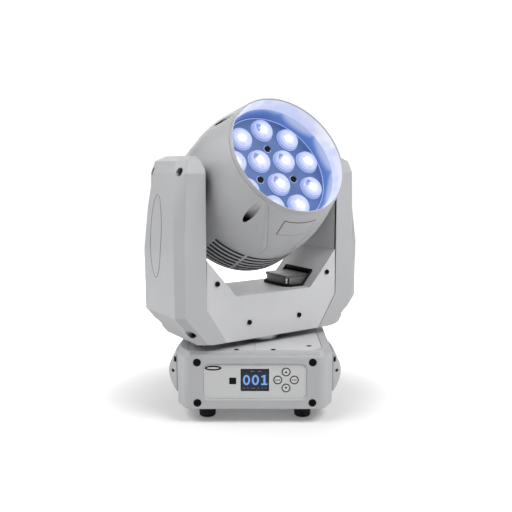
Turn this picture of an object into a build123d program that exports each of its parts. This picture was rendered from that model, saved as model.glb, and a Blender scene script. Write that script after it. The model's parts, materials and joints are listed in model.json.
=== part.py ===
"""Moving head wash light: base, panning yoke and tilting head with a zooming lens plate.

Millimetres, +Z up.  The origin is on the floor, on the pan axis; the display faces -Y.
Yoke pieces are drawn with the arms on the X axis and turned by PAN.
Head pieces are drawn with the beam along +Z from the tilt axis and then tilted.
"""
from build123d import *
from math import cos, radians, sin
import os

# ---------------------------------------------------------------- driving dimensions
PAN = 33.6                 # yoke angle about the vertical, degrees
TILT = 60.15               # beam angle from straight up, degrees
TILT_Z = 336.4             # height of the tilt axis

BASE_HALF_WIDTH = 114.5
BASE_HALF_DEPTH = 103.5
BASE_BOTTOM = 22.5
BASE_TOP = 107.2
BASE_BEVEL_Z = 98.6        # where the top bevel of the base starts
BASE_BEVEL_ANGLE = 27.0
CORNER_CUT = (99.0, 72.0)  # where the slanted corners leave the front and the sides
CORNER_RADIUS = 14.0
WALL = 3.0
CAP_SPLIT = 42.2           # the end caps stop this far in front of and behind the pan axis
PLATE_HALF = (97.5, 95.5)  # top plate
PLATE_CUT = (84.0, 80.0)
PLATE_GAP = 0.6            # shadow gap between the top plate and its surround
FOOT_X, FOOT_Y = 71.0, 66.0

SIDE_X = 103.4             # outer face of the tray's side walls
HANDLE_REACH = 132.5
HANDLE_HALF = 41.9
GRIP_HALF = 27.0

PANEL_X, PANEL_Z = 73.7, 24.8          # half size of the control panel
PANEL_MID_Z = 62.8
DISPLAY_MID_Z = 65.25
DISPLAY_HALF = (20.3, 16.35)
BUTTON_X, BUTTON_Z, BUTTON_STEP = 44.8, 65.3, 11.9
BUTTON_RADIUS = 5.8
CAP_SCREW_X, CAP_SCREW_Z = 82.9, (31.6, 91.6)
PLATE_SCREWS = ((26.5, 90.3), (79.8, 70.5))

COLUMN_RADIUS = 20.0
RUNNING_FIT = 0.06
PAN_PULLEY_RADIUS = 40.0
PAN_DRIVE_RADIUS = 8.0
PAN_MOTOR_X = 67.5
PAN_MOTOR_SIDE = 56.4
PAN_MOTOR_TOP = 200.0
BELT_Z = (134.0, 142.0)

YOKE_FACE = 53.7           # outer face of the front and back sheets
YOKE_FLOOR = 117.2
SHEET = 2.0
FLOOR_HALF = 84.4
BAR_HALF, BAR_Z = 67.1, 183.1
ARM_INNER, INCLINE_Z = 116.0, 239.4
WALL_TOP = 358.0
YOKE_SCREWS = ((99.5, 204.8), (45.6, 142.7))

ARM_FACE = 54.7            # front face of the arm covers
ARM_INSIDE = 117.25
ARM_WALL = 3.0
ARM_CORNER = (151.5, 163.8, 47.8)      # the corner bevel runs from this x to this x, where y is the last
ARM_TOP = 384.0
ARM_SCREWS = ((41.5, 362.2, 141.0), (46.5, 136.2, 131.0))  # y, z and depth of the wells
WELL_RADIUS = 5.9
BOSS_RADIUS = 8.4
GROOVE_MIDDLE = (11.0, 271.0)          # oval groove on the arm's outer face, y and z
GROOVE_HALF = (18.0, 59.5)

SHAFT_RADIUS = 12.0
TILT_PULLEY_RADIUS = 38.0
TILT_DRIVE_RADIUS = 8.0
TILT_MOTOR_Z = 232.0
TILT_MOTOR_SIDE = 42.3
TILT_BELT_X = (126.0, 133.5)

RIM_Z, RIM_RADIUS = 103.2, 91.9
SHELL_SEAM = -8.5
SHELL_WALL = 3.2
SUNK = 2.6                 # how deep the underside panel is sunk
SUNK_RUN = 20.0            # length of the slope at its lower end
SUNK_AT_RIM = 0.25         # depth left where it meets the bezel
LABEL_X, LABEL_H = (-28.0, 26.0), (53.0, 81.0)
WELL_CIRCLE_X, WELL_CIRCLE_Y = 69.4, 73.1
VENT_COUNT, VENT_FIRST, VENT_PITCH, VENT_WIDTH = 7, -14.5, 9.2, 4.8
VENT_SECTORS = ((-139.0, -113.0), (-111.0, -69.0), (-67.0, -41.0))

LENS_PLATE_Z = 54.2
LENS_PLATE_RADIUS = 87.4
LENS_RADIUS = 17.3
INNER_RING, OUTER_RING, SCREW_RING = 25.5, 65.0, 34.0
ROD_RADIUS = 3.0
LED_BOARD_Z = 22.2
HEAT_SINK_RADIUS = 84.0
FAN_Z = (-54.0, -29.0)


# ---------------------------------------------------------------- helpers
def block(x0, x1, y0, y1, z0, z1):
    """Box between two corners."""
    middle = Pos((x0 + x1) / 2, (y0 + y1) / 2, (z0 + z1) / 2)
    return middle * Box(abs(x1 - x0), abs(y1 - y0), abs(z1 - z0))


def upright(radius, z0, z1, x=0.0, y=0.0):
    """Cylinder along Z."""
    return Pos(x, y, (z0 + z1) / 2) * Cylinder(radius, abs(z1 - z0))


def along_y(radius, y0, y1, x, z):
    """Cylinder along Y."""
    return Pos(x, (y0 + y1) / 2, z) * Rot(90, 0, 0) * Cylinder(radius, abs(y1 - y0))


def along_x(radius, x0, x1, y, z):
    """Cylinder along X."""
    return Pos((x0 + x1) / 2, y, z) * Rot(0, 90, 0) * Cylinder(radius, abs(x1 - x0))


def prism_z(points, z0, z1):
    """Prism of an XY outline between two heights."""
    return Pos(0, 0, z0) * extrude(Polygon(*points), z1 - z0, dir=(0, 0, 1))


def prism_y(points, y0, y1):
    """Prism of an XZ outline between two Y planes."""
    return Pos(0, y1, 0) * Rot(90, 0, 0) * extrude(Polygon(*points), y1 - y0, dir=(0, 0, 1))


def lathe(edges):
    """Solid of revolution about Z from the edges of a closed (radius, height) outline."""
    return revolve(Rot(90, 0, 0) * make_face(edges), Axis.Z)


def turned(*points):
    """Solid of revolution about Z from a (radius, height) polygon."""
    return revolve(Rot(90, 0, 0) * Polygon(*points), Axis.Z)


def polar(radius, degrees):
    """Point on a circle."""
    return radius * cos(radians(degrees)), radius * sin(radians(degrees))


def mirrored_x(points):
    """Outline completed with its mirror image across X = 0."""
    return list(points) + [(-x, z) for x, z in reversed(points)]


def both_sides(shape):
    """A piece and its mirror image across the YZ plane."""
    return [shape, mirror(shape, Plane.YZ)]


def group(shapes):
    """Several separate solids as one node."""
    return Compound([solid for shape in shapes for solid in shape.solids()])


PIECES = {}


def keep(name, shape, place=Location()):
    """Put a finished piece where it belongs and remember it."""
    PIECES[name] = place * shape


BASE_PLACE = Location()
YOKE_PLACE = Rot(0, 0, PAN)
HEAD_PLACE = Rot(0, 0, PAN) * Pos(0, 0, TILT_Z) * Rot(TILT, 0, 0)


# ---------------------------------------------------------------- base
def base_outline(inset):
    """Plan of the base: a rectangle with slanted, rounded corners."""
    cut_x, cut_y = CORNER_CUT
    corner = [(BASE_HALF_WIDTH, cut_y), (cut_x, BASE_HALF_DEPTH)]
    quarter_mirror = [(x, -y) for x, y in reversed(corner)]
    right = quarter_mirror + corner
    points = right + [(-x, y) for x, y in reversed(right)]
    outline = Polygon(*points)
    outline = fillet(outline.vertices(), CORNER_RADIUS)
    return offset(outline, amount=-inset) if inset else outline


def base_body(inset, bottom, bevel_from, top):
    """Solid of the base with its sloping top edge."""
    outline = base_outline(inset)
    lower = Pos(0, 0, bottom) * extrude(outline, bevel_from - bottom)
    upper = Pos(0, 0, bevel_from) * extrude(outline, top - bevel_from, taper=BASE_BEVEL_ANGLE)
    return lower + upper


def plate_outline(grow):
    """Plan of the top plate."""
    half_x, half_y = PLATE_HALF[0] + grow, PLATE_HALF[1] + grow
    cut_x, cut_y = PLATE_CUT
    corner = [(half_x, cut_y), (cut_x, half_y)]
    right = [(x, -y) for x, y in reversed(corner)] + corner
    return right + [(-x, y) for x, y in reversed(right)]


def cap_screw_places():
    """Where the end caps are screwed on, as (x, z)."""
    return [(sx * CAP_SCREW_X, z) for sx in (-1, 1) for z in CAP_SCREW_Z]


def end_cap_blank():
    """Both end caps in one: a hollow shell with thick front and back walls."""
    shell = base_body(0.0, BASE_BOTTOM, BASE_BEVEL_Z, BASE_TOP)
    hollow = base_body(WALL, BASE_BOTTOM - 5, BASE_BEVEL_Z - 2.6, BASE_TOP - WALL)
    shell -= hollow
    for side in (-1, 1):
        wall_in, wall_out = side * (BASE_HALF_DEPTH - 5), side * (BASE_HALF_DEPTH - 2)
        shell += block(-93, 93, wall_in, wall_out, BASE_BOTTOM + 2.4, BASE_TOP - WALL)
    shell -= prism_z(plate_outline(PLATE_GAP), BASE_TOP - 6, BASE_TOP + 5)
    shell -= block(-130, 130, -CAP_SPLIT, CAP_SPLIT, 0, 200)
    for side in (-1, 1):
        face = side * BASE_HALF_DEPTH
        for x, z in cap_screw_places():
            shell -= along_y(5.8, face - side * 2.6, face + side, x, z)
            shell -= along_y(2.2, face - side * 8, face + side, x, z)
    return shell


def front_cap(blank):
    """Front half with the recess for the control panel."""
    cap = blank & block(-130, 130, -130, 0, 0, 200)
    face = -BASE_HALF_DEPTH
    recess = RectangleRounded(2 * PANEL_X + 0.6, 2 * PANEL_Z + 0.6, 8)
    cap -= Pos(0, face - 1, PANEL_MID_Z) * Rot(-90, 0, 0) * extrude(recess, 4.3)
    slope = RectangleRounded(2 * PANEL_X + 5, 2 * PANEL_Z + 5, 10)
    cap -= Pos(0, face, PANEL_MID_Z) * Rot(-90, 0, 0) * extrude(slope, 1.6, taper=54)
    window = RectangleRounded(140, 45.6, 6)
    cap -= Pos(0, face - 1, PANEL_MID_Z) * Rot(-90, 0, 0) * extrude(window, 10)
    return cap


CONNECTORS = (("power", -80.0), ("power", -52.0), ("fuse", -27.0),
              ("input", 0.0), ("input", 27.0), ("output", 54.0), ("output", 81.0))
CONNECTOR_Z = 64.0
CONNECTOR_BODY = 12.0
FUSE_BODY = 7.5


def rear_cap(blank):
    """Rear half with one round hole for each connector."""
    cap = blank & block(-130, 130, 0, 130, 0, 200)
    for kind, x in CONNECTORS:
        radius = FUSE_BODY if kind == "fuse" else CONNECTOR_BODY
        cap -= along_y(radius + 0.1, 80, 120, x, CONNECTOR_Z)
    return cap


def tray():
    """Sheet-metal floor with two upright sides."""
    floor = Pos(0, 0, BASE_BOTTOM) * extrude(base_outline(WALL + 0.3), SHEET)
    for side in (-1, 1):
        floor -= block(side * SIDE_X, side * 130, -42.4, 42.4, 0, 60)
        floor += block(side * (SIDE_X - 1.5), side * SIDE_X, -78, 78, BASE_BOTTOM, 103.9)
    for x, y in rigging_places():
        floor -= upright(RIG_BODY + 0.1, 0, 60, x, y)
    return floor


RIG_X, RIG_Y = 55.0, 40.0
RIG_BODY, RIG_HOLE, RIG_DEPTH = 8.0, 4.2, 10.0


def rigging_places():
    """Centres of the four quarter-turn receptacles."""
    return [(sx * RIG_X, sy * RIG_Y) for sx in (-1, 1) for sy in (-1, 1)]


def rigging_socket(x, y):
    """Cup that takes one quarter-turn stud of a mounting bracket."""
    top = BASE_BOTTOM + RIG_DEPTH + SHEET
    cup = upright(RIG_BODY, BASE_BOTTOM, top, x, y)
    cup += upright(RIG_BODY + 3, BASE_BOTTOM + SHEET, BASE_BOTTOM + SHEET + 1.6, x, y)
    return cup - upright(RIG_HOLE, 0, BASE_BOTTOM + RIG_DEPTH, x, y)


def top_plate():
    """Sheet-metal top in two halves that meet on the centre line."""
    plate = prism_z(plate_outline(0.0), BASE_TOP - SHEET, BASE_TOP)
    plate -= upright(COLUMN_RADIUS + 0.4, 90, 130)
    for x, y in plate_screw_places():
        plate -= upright(4.1, 90, 130, x, y)
    right = plate & block(0.15, 130, -130, 130, 90, 130)
    left = plate & block(-130, -0.15, -130, 130, 90, 130)
    return group([left, right])


def plate_screw_places():
    """Screws of the top plate, as (x, y)."""
    return [(sx * x, sy * y) for x, y in PLATE_SCREWS for sx in (-1, 1) for sy in (-1, 1)]


def side_handle():
    """Right-hand carrying handle: bulged side wall with a finger slot."""
    reach = HANDLE_REACH
    side = BASE_HALF_WIDTH - 0.3
    wall_x = SIDE_X + 0.2
    lip_x = PLATE_HALF[0] + PLATE_GAP
    bevel_x = BASE_HALF_WIDTH - (BASE_TOP - BASE_BEVEL_Z) * 0.51
    edges = [
        Polyline((lip_x, BASE_TOP - WALL), (lip_x, BASE_TOP), (bevel_x, BASE_TOP),
                 (side, BASE_BEVEL_Z), (side, 90)),
        ThreePointArc((side, 90), (reach, 56), (side, 25)),
        Polyline((side, 25), (side - 2.5, BASE_BOTTOM), (wall_x, BASE_BOTTOM),
                 (wall_x, BASE_TOP - WALL), (lip_x, BASE_TOP - WALL)),
    ]
    outline = Rot(90, 0, 0) * make_face(edges)
    body = Pos(0, HANDLE_HALF, 0) * extrude(outline, 2 * HANDLE_HALF, dir=(0, -1, 0))
    slant = [(60, -HANDLE_HALF - 1), (119, -HANDLE_HALF - 1), (reach + 4, -24),
             (reach + 4, 24), (119, HANDLE_HALF + 1), (60, HANDLE_HALF + 1)]
    body &= prism_z(slant, 0, 200)
    body -= block(wall_x + 4, 121.0, -GRIP_HALF, GRIP_HALF, 0, 95)
    for sy in (-1, 1):
        body -= along_y(2.6, sy * 30, sy * 60, 125.5, 59)
        slot = along_y(2.0, sy * 30, sy * 60, 121.5, 75.5) + along_y(2.0, sy * 30, sy * 60, 121.5, 80.5)
        body -= slot + block(119.5, 123.5, *sorted((sy * 30, sy * 60)), 75.5, 80.5)
    return body


def foot(x, y):
    """Tapered rubber foot with a rounded tread."""
    shape = turned((0, 0), (10.5, 0), (12.0, 1.5), (13.75, BASE_BOTTOM), (0, BASE_BOTTOM))
    return Pos(x, y, 0) * shape


def button_places():
    """Button names and centres, as (x, z)."""
    return {
        "button_up": (BUTTON_X, BUTTON_Z + BUTTON_STEP),
        "button_down": (BUTTON_X, BUTTON_Z - BUTTON_STEP),
        "button_menu": (BUTTON_X - BUTTON_STEP, BUTTON_Z),
        "button_enter": (BUTTON_X + BUTTON_STEP, BUTTON_Z),
    }


PANEL_FRONT, PANEL_BACK = -101.7, -100.2


def fascia():
    """Control panel with the display opening and the button holes."""
    face = RectangleRounded(2 * PANEL_X, 2 * PANEL_Z, 7.7)
    thick = PANEL_BACK - PANEL_FRONT
    panel = Pos(0, PANEL_FRONT, PANEL_MID_Z) * Rot(-90, 0, 0) * extrude(face, thick)
    wide, tall = DISPLAY_HALF
    panel -= block(-wide - 0.2, wide + 0.2, -110, -90, DISPLAY_MID_Z - tall - 0.2, DISPLAY_MID_Z + tall + 0.2)
    for x, z in button_places().values():
        panel -= along_y(BUTTON_RADIUS + 0.3, -110, -90, x, z)
    return panel


def button(x, z):
    """Button cap with a retaining flange and the stem that works the switch."""
    cap = along_y(BUTTON_RADIUS, -102.0, -99.6, x, z)
    flange = along_y(BUTTON_RADIUS + 1.0, -99.85, -99.0, x, z)
    stem = along_y(1.5, -99.0, -96.6, x, z)
    return cap + flange + stem


def display_window():
    """Clear window of the display."""
    wide, tall = DISPLAY_HALF
    return block(-wide, wide, -101.8, -100.9, DISPLAY_MID_Z - tall, DISPLAY_MID_Z + tall)


def display_module():
    """Liquid crystal module behind the window."""
    return block(-23, 23, -99.9, -95.9, DISPLAY_MID_Z - 19, DISPLAY_MID_Z + 19)


def control_board():
    """Circuit board with one small switch behind each button."""
    board = block(-68, 68, -92.4, -90.8, 44, 86)
    for x, z in button_places().values():
        board += block(x - 3, x + 3, -95.8, -92.4, z - 3, z + 3)
    board += block(-20, 20, -95.7, -92.4, 60, 66)
    return board


def power_supply():
    """Enclosed power supply on the tray floor."""
    case = block(-43, 43, -60, 78, BASE_BOTTOM + SHEET, 60)
    lid_slots = [block(-34, 34, -50 + 9 * i, -46 + 9 * i, 58.6, 62) for i in range(14)]
    for slot in lid_slots:
        case -= slot
    return case


REAR_FACE = BASE_HALF_DEPTH
CONNECTOR_FRONT = REAR_FACE + 2.0
RECESS_RADIUS = 8.8
RECESS_DEPTH = 13.0


def connector_shell(x, bored):
    """Chassis connector: round body behind a screwed flange."""
    shell = along_y(CONNECTOR_BODY, 84, REAR_FACE, x, CONNECTOR_Z)
    shell += block(x - 13, x + 13, REAR_FACE, CONNECTOR_FRONT, CONNECTOR_Z - 15, CONNECTOR_Z + 15)
    if bored:
        shell -= along_y(RECESS_RADIUS, CONNECTOR_FRONT - RECESS_DEPTH, 120, x, CONNECTOR_Z)
    return shell


def contact_ring(x, count):
    """Contact centres of a round audio-style connector."""
    step = 270 / count
    return [(x + dx, CONNECTOR_Z + dz)
            for dx, dz in (polar(4.6, -45 - step * i) for i in range(count))]


def power_connectors():
    """Mains inlet, mains outlet and fuse holder."""
    parts = [connector_shell(x, True) for kind, x in CONNECTORS if kind == "power"]
    x = next(x for kind, x in CONNECTORS if kind == "fuse")
    fuse = along_y(FUSE_BODY, 86, REAR_FACE, x, CONNECTOR_Z)
    fuse += along_y(9.0, REAR_FACE, REAR_FACE + 2, x, CONNECTOR_Z)
    fuse += along_y(6.2, REAR_FACE + 2, REAR_FACE + 7, x, CONNECTOR_Z)
    fuse -= block(x - 5, x + 5, REAR_FACE + 5.6, 120, CONNECTOR_Z - 0.7, CONNECTOR_Z + 0.7)
    return group(parts + [fuse])


def dmx_inputs():
    """Three-pin and five-pin data inputs."""
    parts = []
    places = [x for kind, x in CONNECTORS if kind == "input"]
    for x, count in zip(places, (3, 5)):
        shell = connector_shell(x, True)
        for px, pz in contact_ring(x, count):
            shell += along_y(1.2, CONNECTOR_FRONT - RECESS_DEPTH - 1, CONNECTOR_FRONT - 6.0, px, pz)
        parts.append(shell)
    return group(parts)


def dmx_outputs():
    """Three-pin and five-pin data outputs."""
    parts = []
    places = [x for kind, x in CONNECTORS if kind == "output"]
    for x, count in zip(places, (3, 5)):
        shell = connector_shell(x, False)
        groove = along_y(9.6, CONNECTOR_FRONT - 1.2, 120, x, CONNECTOR_Z)
        groove -= along_y(8.4, CONNECTOR_FRONT - 2, 120, x, CONNECTOR_Z)
        shell -= groove
        for px, pz in contact_ring(x, count):
            shell -= along_y(1.3, CONNECTOR_FRONT - 9, 120, px, pz)
        parts.append(shell)
    return group(parts)


def pan_column():
    """Hollow fixed shaft that carries the yoke, with the neck flange."""
    column = upright(COLUMN_RADIUS, 78, 146)
    column += upright(PAN_PULLEY_RADIUS + 0.5, BASE_TOP + 0.2, BASE_TOP + 7.4)
    column += upright(30, 100, BASE_TOP - SHEET - 0.2)
    return column - upright(13, 60, 160)


def pan_pulley():
    """Large toothed belt wheel on the column."""
    low, high = BELT_Z
    wheel = upright(PAN_PULLEY_RADIUS, low, high)
    wheel -= upright(COLUMN_RADIUS, low - 1, high + 1)
    for i in range(6):
        x, y = polar(29.5, 60 * i)
        wheel -= upright(5.5, low - 1, high + 1, x, y)
    return wheel


def base_screws():
    """Black screws of the end caps and of the top plate."""
    parts = []
    for side in (-1, 1):
        face = side * BASE_HALF_DEPTH
        for x, z in cap_screw_places():
            head = along_y(5.5, face - side * 2.5, face - side * 0.2, x, z)
            head += along_y(2.0, face - side * 8, face - side * 2.5, x, z)
            socket = along_y(2.6, face - side * 1.6, face + side, x, z)
            parts.append(head - socket)
    for x, y in plate_screw_places():
        head = upright(3.9, BASE_TOP - 1.9, BASE_TOP - 0.1, x, y)
        parts.append(head - upright(1.7, BASE_TOP - 1.1, BASE_TOP + 1, x, y))
    return group(parts)


def make_base():
    """All pieces that stand still."""
    blank = end_cap_blank()
    keep("base_front_cap", front_cap(blank))
    keep("base_rear_cap", rear_cap(blank))
    keep("base_tray", tray())
    keep("base_top_plate", top_plate())
    right, left = both_sides(side_handle())
    keep("side_handle_right", right)
    keep("side_handle_left", left)
    keep("feet", group([foot(sx * FOOT_X, sy * FOOT_Y) for sx in (-1, 1) for sy in (-1, 1)]))
    keep("rigging_sockets", group([rigging_socket(x, y) for x, y in rigging_places()]))
    keep("control_fascia", fascia())
    keep("display_window", display_window())
    keep("display_module", display_module())
    keep("control_board", control_board())
    keep("power_supply", power_supply())
    keep("power_connectors", power_connectors())
    keep("dmx_inputs", dmx_inputs())
    keep("dmx_outputs", dmx_outputs())
    keep("pan_column", pan_column())
    keep("pan_pulley", pan_pulley())
    keep("base_screws", base_screws())
    for name, (x, z) in button_places().items():
        keep(name, button(x, z))


# ---------------------------------------------------------------- yoke
def face_sheet_outline():
    """Front sheet of the yoke: lower body with a wide notch for the head."""
    right = [(FLOOR_HALF, YOKE_FLOOR), (117.0, 168.4), (ARM_INNER, INCLINE_Z), (BAR_HALF, BAR_Z)]
    return mirrored_x(right)


def face_sheet(side):
    """Front (side -1) or back (side +1) sheet."""
    near, far = side * (YOKE_FACE - SHEET), side * YOKE_FACE
    sheet = prism_y(face_sheet_outline(), min(near, far), max(near, far))
    for x, z in yoke_screw_places():
        sheet -= along_y(2.0, near - side, far + side, x, z)
    return sheet


def yoke_screw_places():
    """Screws of the face sheets, as (x, z)."""
    return [(sx * x, z) for x, z in YOKE_SCREWS for sx in (-1, 1)]


def saddle():
    """Bent sheet: cross bar, two inclines and the inner walls of the arms."""
    top = [(BAR_HALF, BAR_Z), (ARM_INNER, INCLINE_Z), (ARM_INNER, WALL_TOP)]
    under = [(ARM_INNER + SHEET, WALL_TOP), (ARM_INNER + SHEET, INCLINE_Z - 0.75),
             (BAR_HALF + 0.91, BAR_Z - SHEET)]
    right = top + under
    outline = [(-x, z) for x, z in reversed(top)] + right + [(-x, z) for x, z in reversed(under)]
    half = YOKE_FACE - SHEET - 0.1
    sheet = prism_y(outline, -half, half)
    for side in (-1, 1):
        sheet -= along_x(SHAFT_RADIUS + 1.5, side * 100, side * 125, 0, TILT_Z)
    cut = [(36, -26), (45, -34.4), (84.7, -34.4), (84.7, 34.4), (45, 34.4), (36, 26)]
    return sheet - prism_z(cut, BAR_Z - 8, 230)


def yoke_floor():
    """Bottom sheet of the yoke."""
    half = YOKE_FACE - SHEET - 0.1
    sheet = block(-84, 84, -half, half, YOKE_FLOOR, YOKE_FLOOR + SHEET)
    return sheet - upright(COLUMN_RADIUS + 2, 100, 130)


def arm_plan(z, x_front, y_front, x_out, y_out, wall):
    """Level cut through an arm cover at height z."""
    front = [(60, wall - y_front), (x_front - 0.5 * wall, wall - y_front)]
    side = [(x_out - wall, 0.4 * wall - y_out)]
    right = front + side
    return Pos(0, 0, z) * Polygon(*(right + [(x, -y) for x, y in reversed(right)]))


def arm_column(wall):
    """Arm cover seen from above: it narrows towards the top."""
    corner_in, corner_out, corner_y = ARM_CORNER
    top = ARM_TOP - wall
    levels = [
        (105.0, corner_in, ARM_FACE, corner_out - 0.5, corner_y),
        (250.0, corner_in, ARM_FACE, corner_out, corner_y),
        (313.0, corner_in - 2.5, ARM_FACE, 160.0, 40.5),
        (360.0, 147.5, ARM_FACE, 154.5, 32.5),
        (top - 7.0, 142.5, ARM_FACE - 4.5, 148.5, 27.0),
        (top, 130.0, ARM_FACE - 12.0, 136.0, 20.0),
    ]
    return loft([arm_plan(*level, wall) for level in levels], ruled=True)


def arm_front(y, inset, wall):
    """Front outline of an arm cover at depth y."""
    low = YOKE_FLOOR + 0.3 + wall
    if wall:
        lip_x, lip_z = ARM_INSIDE + wall, 366.0
        inner = [(lip_x + 9, 384), (lip_x, lip_z), (lip_x, WALL_TOP + 0.5), (60, WALL_TOP + 0.5), (60, low)]
    else:
        inner = [(ARM_INSIDE + 9, 385), (ARM_INSIDE, 367), (ARM_INSIDE, 168.6), (FLOOR_HALF + 0.3, low)]
    reach = inset + wall
    outer = [(120 - reach, low), (129 - reach, low + 1.5), (133.5 - reach, low + 7),
             (137.5 - reach, low + 12), (180 - reach, 180.5), (180 - reach, 384)]
    return Pos(0, y, 0) * Rot(90, 0, 0) * Polygon(*(inner + outer))


def arm_slab(wall):
    """Arm cover seen from the front: bevelled along its lower outer corner."""
    face, edge = ARM_FACE - wall, ARM_CORNER[2] - 0.4 * wall
    depths = [(-face - 5, 22.5), (-face, 13.0), (-edge, 0.0), (edge, 0.0), (face, 13.0), (face + 5, 22.5)]
    return loft([arm_front(y, inset, wall) for y, inset in depths], ruled=True)


def oval_groove(outside):
    """Shallow oval line on the outer face of an arm cover."""
    y, z = GROOVE_MIDDLE
    half_y, half_z = GROOVE_HALF
    ring = Ellipse(half_z, half_y) - Ellipse(half_z - 1.3, half_y - 1.3)
    tube = Pos(140, y, z) * Rot(0, 90, 0) * extrude(ring, 40)
    return tube & (outside - Pos(-0.7, 0, 0) * outside)


def arm_cover():
    """Right-hand arm cover, open towards the yoke."""
    outside = arm_column(0) & arm_slab(0)
    cover = outside - (arm_column(ARM_WALL) & arm_slab(ARM_WALL))
    for y, z, depth in ARM_SCREWS:
        for side in (-1, 1):
            cover += along_x(BOSS_RADIUS, depth - 8, 170, side * y, z) & outside
    for y, z, depth in ARM_SCREWS:
        for side in (-1, 1):
            cover -= along_x(WELL_RADIUS, depth, 175, side * y, z)
            cover -= along_x(2.1, depth - 10, depth + 1, side * y, z)
    return cover - oval_groove(outside)


def arm_cover_screws():
    """Screws at the bottom of the wells of both arm covers."""
    parts = []
    for y, z, depth in ARM_SCREWS:
        for side in (-1, 1):
            screw = along_x(4.2, depth + 0.1, depth + 2.4, side * y, z)
            screw += along_x(2.0, depth - 9, depth + 0.1, side * y, z)
            screw -= along_x(1.6, depth + 1.2, depth + 4, side * y, z)
            parts += both_sides(screw)
    return parts


def yoke_screws():
    """Black screws of the face sheets and of the arm covers."""
    parts = arm_cover_screws()
    for side in (-1, 1):
        face = side * YOKE_FACE
        for x, z in yoke_screw_places():
            screw = along_y(3.6, face, face + side * 2.0, x, z)
            screw += along_y(1.8, face - side * 4, face, x, z)
            parts.append(screw - along_y(1.5, face + side, face + side * 3, x, z))
    return group(parts)


def pan_bearing():
    """Bearing between the column and the yoke floor."""
    low = YOKE_FLOOR + SHEET + 0.1
    return upright(34, low, 130) - upright(COLUMN_RADIUS + RUNNING_FIT, 100, 140)


def tilt_bearings():
    """One bearing on each arm's inner wall."""
    ring = along_x(20, 118.2, 124.6, 0, TILT_Z)
    ring -= along_x(SHAFT_RADIUS + RUNNING_FIT, 110, 130, 0, TILT_Z)
    return group(both_sides(ring))


def motor_block(side, length, corner):
    """Square stepper motor with notched corners, axis along Z, top at zero."""
    half = side / 2
    body = Pos(0, 0, -length / 2) * Box(side, side, length)
    for sx in (-1, 1):
        for sy in (-1, 1):
            body -= upright(corner, -length + 4, -4, sx * half, sy * half)
    return body


def pan_motor():
    """Upright motor; its top shows through the cut-out in the cross bar."""
    body = motor_block(PAN_MOTOR_SIDE, 44.5, 6.5)
    body -= upright(3.17 + RUNNING_FIT, -50, -30)
    return Pos(PAN_MOTOR_X, 0, PAN_MOTOR_TOP) * body


def tilt_motor():
    """Flat motor on its side in the right arm."""
    body = motor_block(TILT_MOTOR_SIDE, 23, 3.5)
    body -= upright(2.5 + RUNNING_FIT, -25, -11)
    return Pos(159.2, 0, TILT_MOTOR_Z) * Rot(0, 90, 0) * body


def motor_brackets():
    """Plate under the pan motor and plate on posts behind the tilt motor."""
    half = YOKE_FACE - SHEET - 0.2
    pan_plate = block(PAN_MOTOR_X - 32, 102, -half, half, 152.3, 155.3)
    pan_plate -= upright(10, 140, 160, PAN_MOTOR_X, 0)
    tilt_plate = block(134.0, 136.0, -25, 25, TILT_MOTOR_Z - 25, TILT_MOTOR_Z + 25)
    tilt_plate -= along_x(6, 130, 140, 0, TILT_MOTOR_Z)
    for sy in (-1, 1):
        for sz in (-1, 1):
            tilt_plate += along_x(3, 118.1, 135, sy * 21.5, TILT_MOTOR_Z + sz * 20)
    return group([pan_plate, tilt_plate])


def belt(big, small, distance, width):
    """Closed belt round two wheels, the big one at the origin, the small one on +X."""
    gap, thick = 0.4, 1.4

    def loop(extra):
        circles = [Edge.make_circle(big + extra), Edge.make_circle(small + extra).moved(Pos(distance, 0, 0))]
        return make_hull(circles)

    return extrude(loop(gap + thick), width) - extrude(loop(gap), width)


def pan_belt():
    """Belt from the pan motor to the fixed wheel."""
    low, high = BELT_Z
    return Pos(0, 0, low + 1) * belt(PAN_PULLEY_RADIUS, PAN_DRIVE_RADIUS, PAN_MOTOR_X, high - low - 2)


def tilt_belt():
    """Belt from the tilt motor up to the wheel on the tilt shaft."""
    near, far = TILT_BELT_X
    loop = belt(TILT_PULLEY_RADIUS, TILT_DRIVE_RADIUS, TILT_Z - TILT_MOTOR_Z, far - near - 2)
    return Pos(near + 1, 0, TILT_Z) * Rot(0, 90, 0) * loop


def pan_motor_pulley():
    """Small pan wheel with the motor shaft."""
    low, high = BELT_Z
    wheel = upright(PAN_DRIVE_RADIUS, low, high) + upright(3.17, low - 2, 168)
    return Pos(PAN_MOTOR_X, 0, 0) * wheel


def tilt_motor_pulley():
    """Small tilt wheel with the motor shaft."""
    near, far = TILT_BELT_X
    wheel = along_x(TILT_DRIVE_RADIUS, near, far, 0, TILT_MOTOR_Z)
    return wheel + along_x(2.5, near - 1, 146, 0, TILT_MOTOR_Z)


def make_yoke():
    """All pieces that pan."""
    keep("yoke_front_plate", face_sheet(-1), YOKE_PLACE)
    keep("yoke_back_plate", face_sheet(1), YOKE_PLACE)
    keep("yoke_saddle", saddle(), YOKE_PLACE)
    keep("yoke_floor", yoke_floor(), YOKE_PLACE)
    right, left = both_sides(arm_cover())
    keep("arm_cover_right", right, YOKE_PLACE)
    keep("arm_cover_left", left, YOKE_PLACE)
    keep("yoke_screws", yoke_screws(), YOKE_PLACE)
    keep("pan_bearing", pan_bearing(), YOKE_PLACE)
    keep("tilt_bearings", tilt_bearings(), YOKE_PLACE)
    keep("pan_motor", pan_motor(), YOKE_PLACE)
    keep("tilt_motor", tilt_motor(), YOKE_PLACE)
    keep("motor_brackets", motor_brackets(), YOKE_PLACE)
    keep("pan_belt", pan_belt(), YOKE_PLACE)
    keep("tilt_belt", tilt_belt(), YOKE_PLACE)
    keep("pan_motor_pulley", pan_motor_pulley(), YOKE_PLACE)
    keep("tilt_motor_pulley", tilt_motor_pulley(), YOKE_PLACE)


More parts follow.
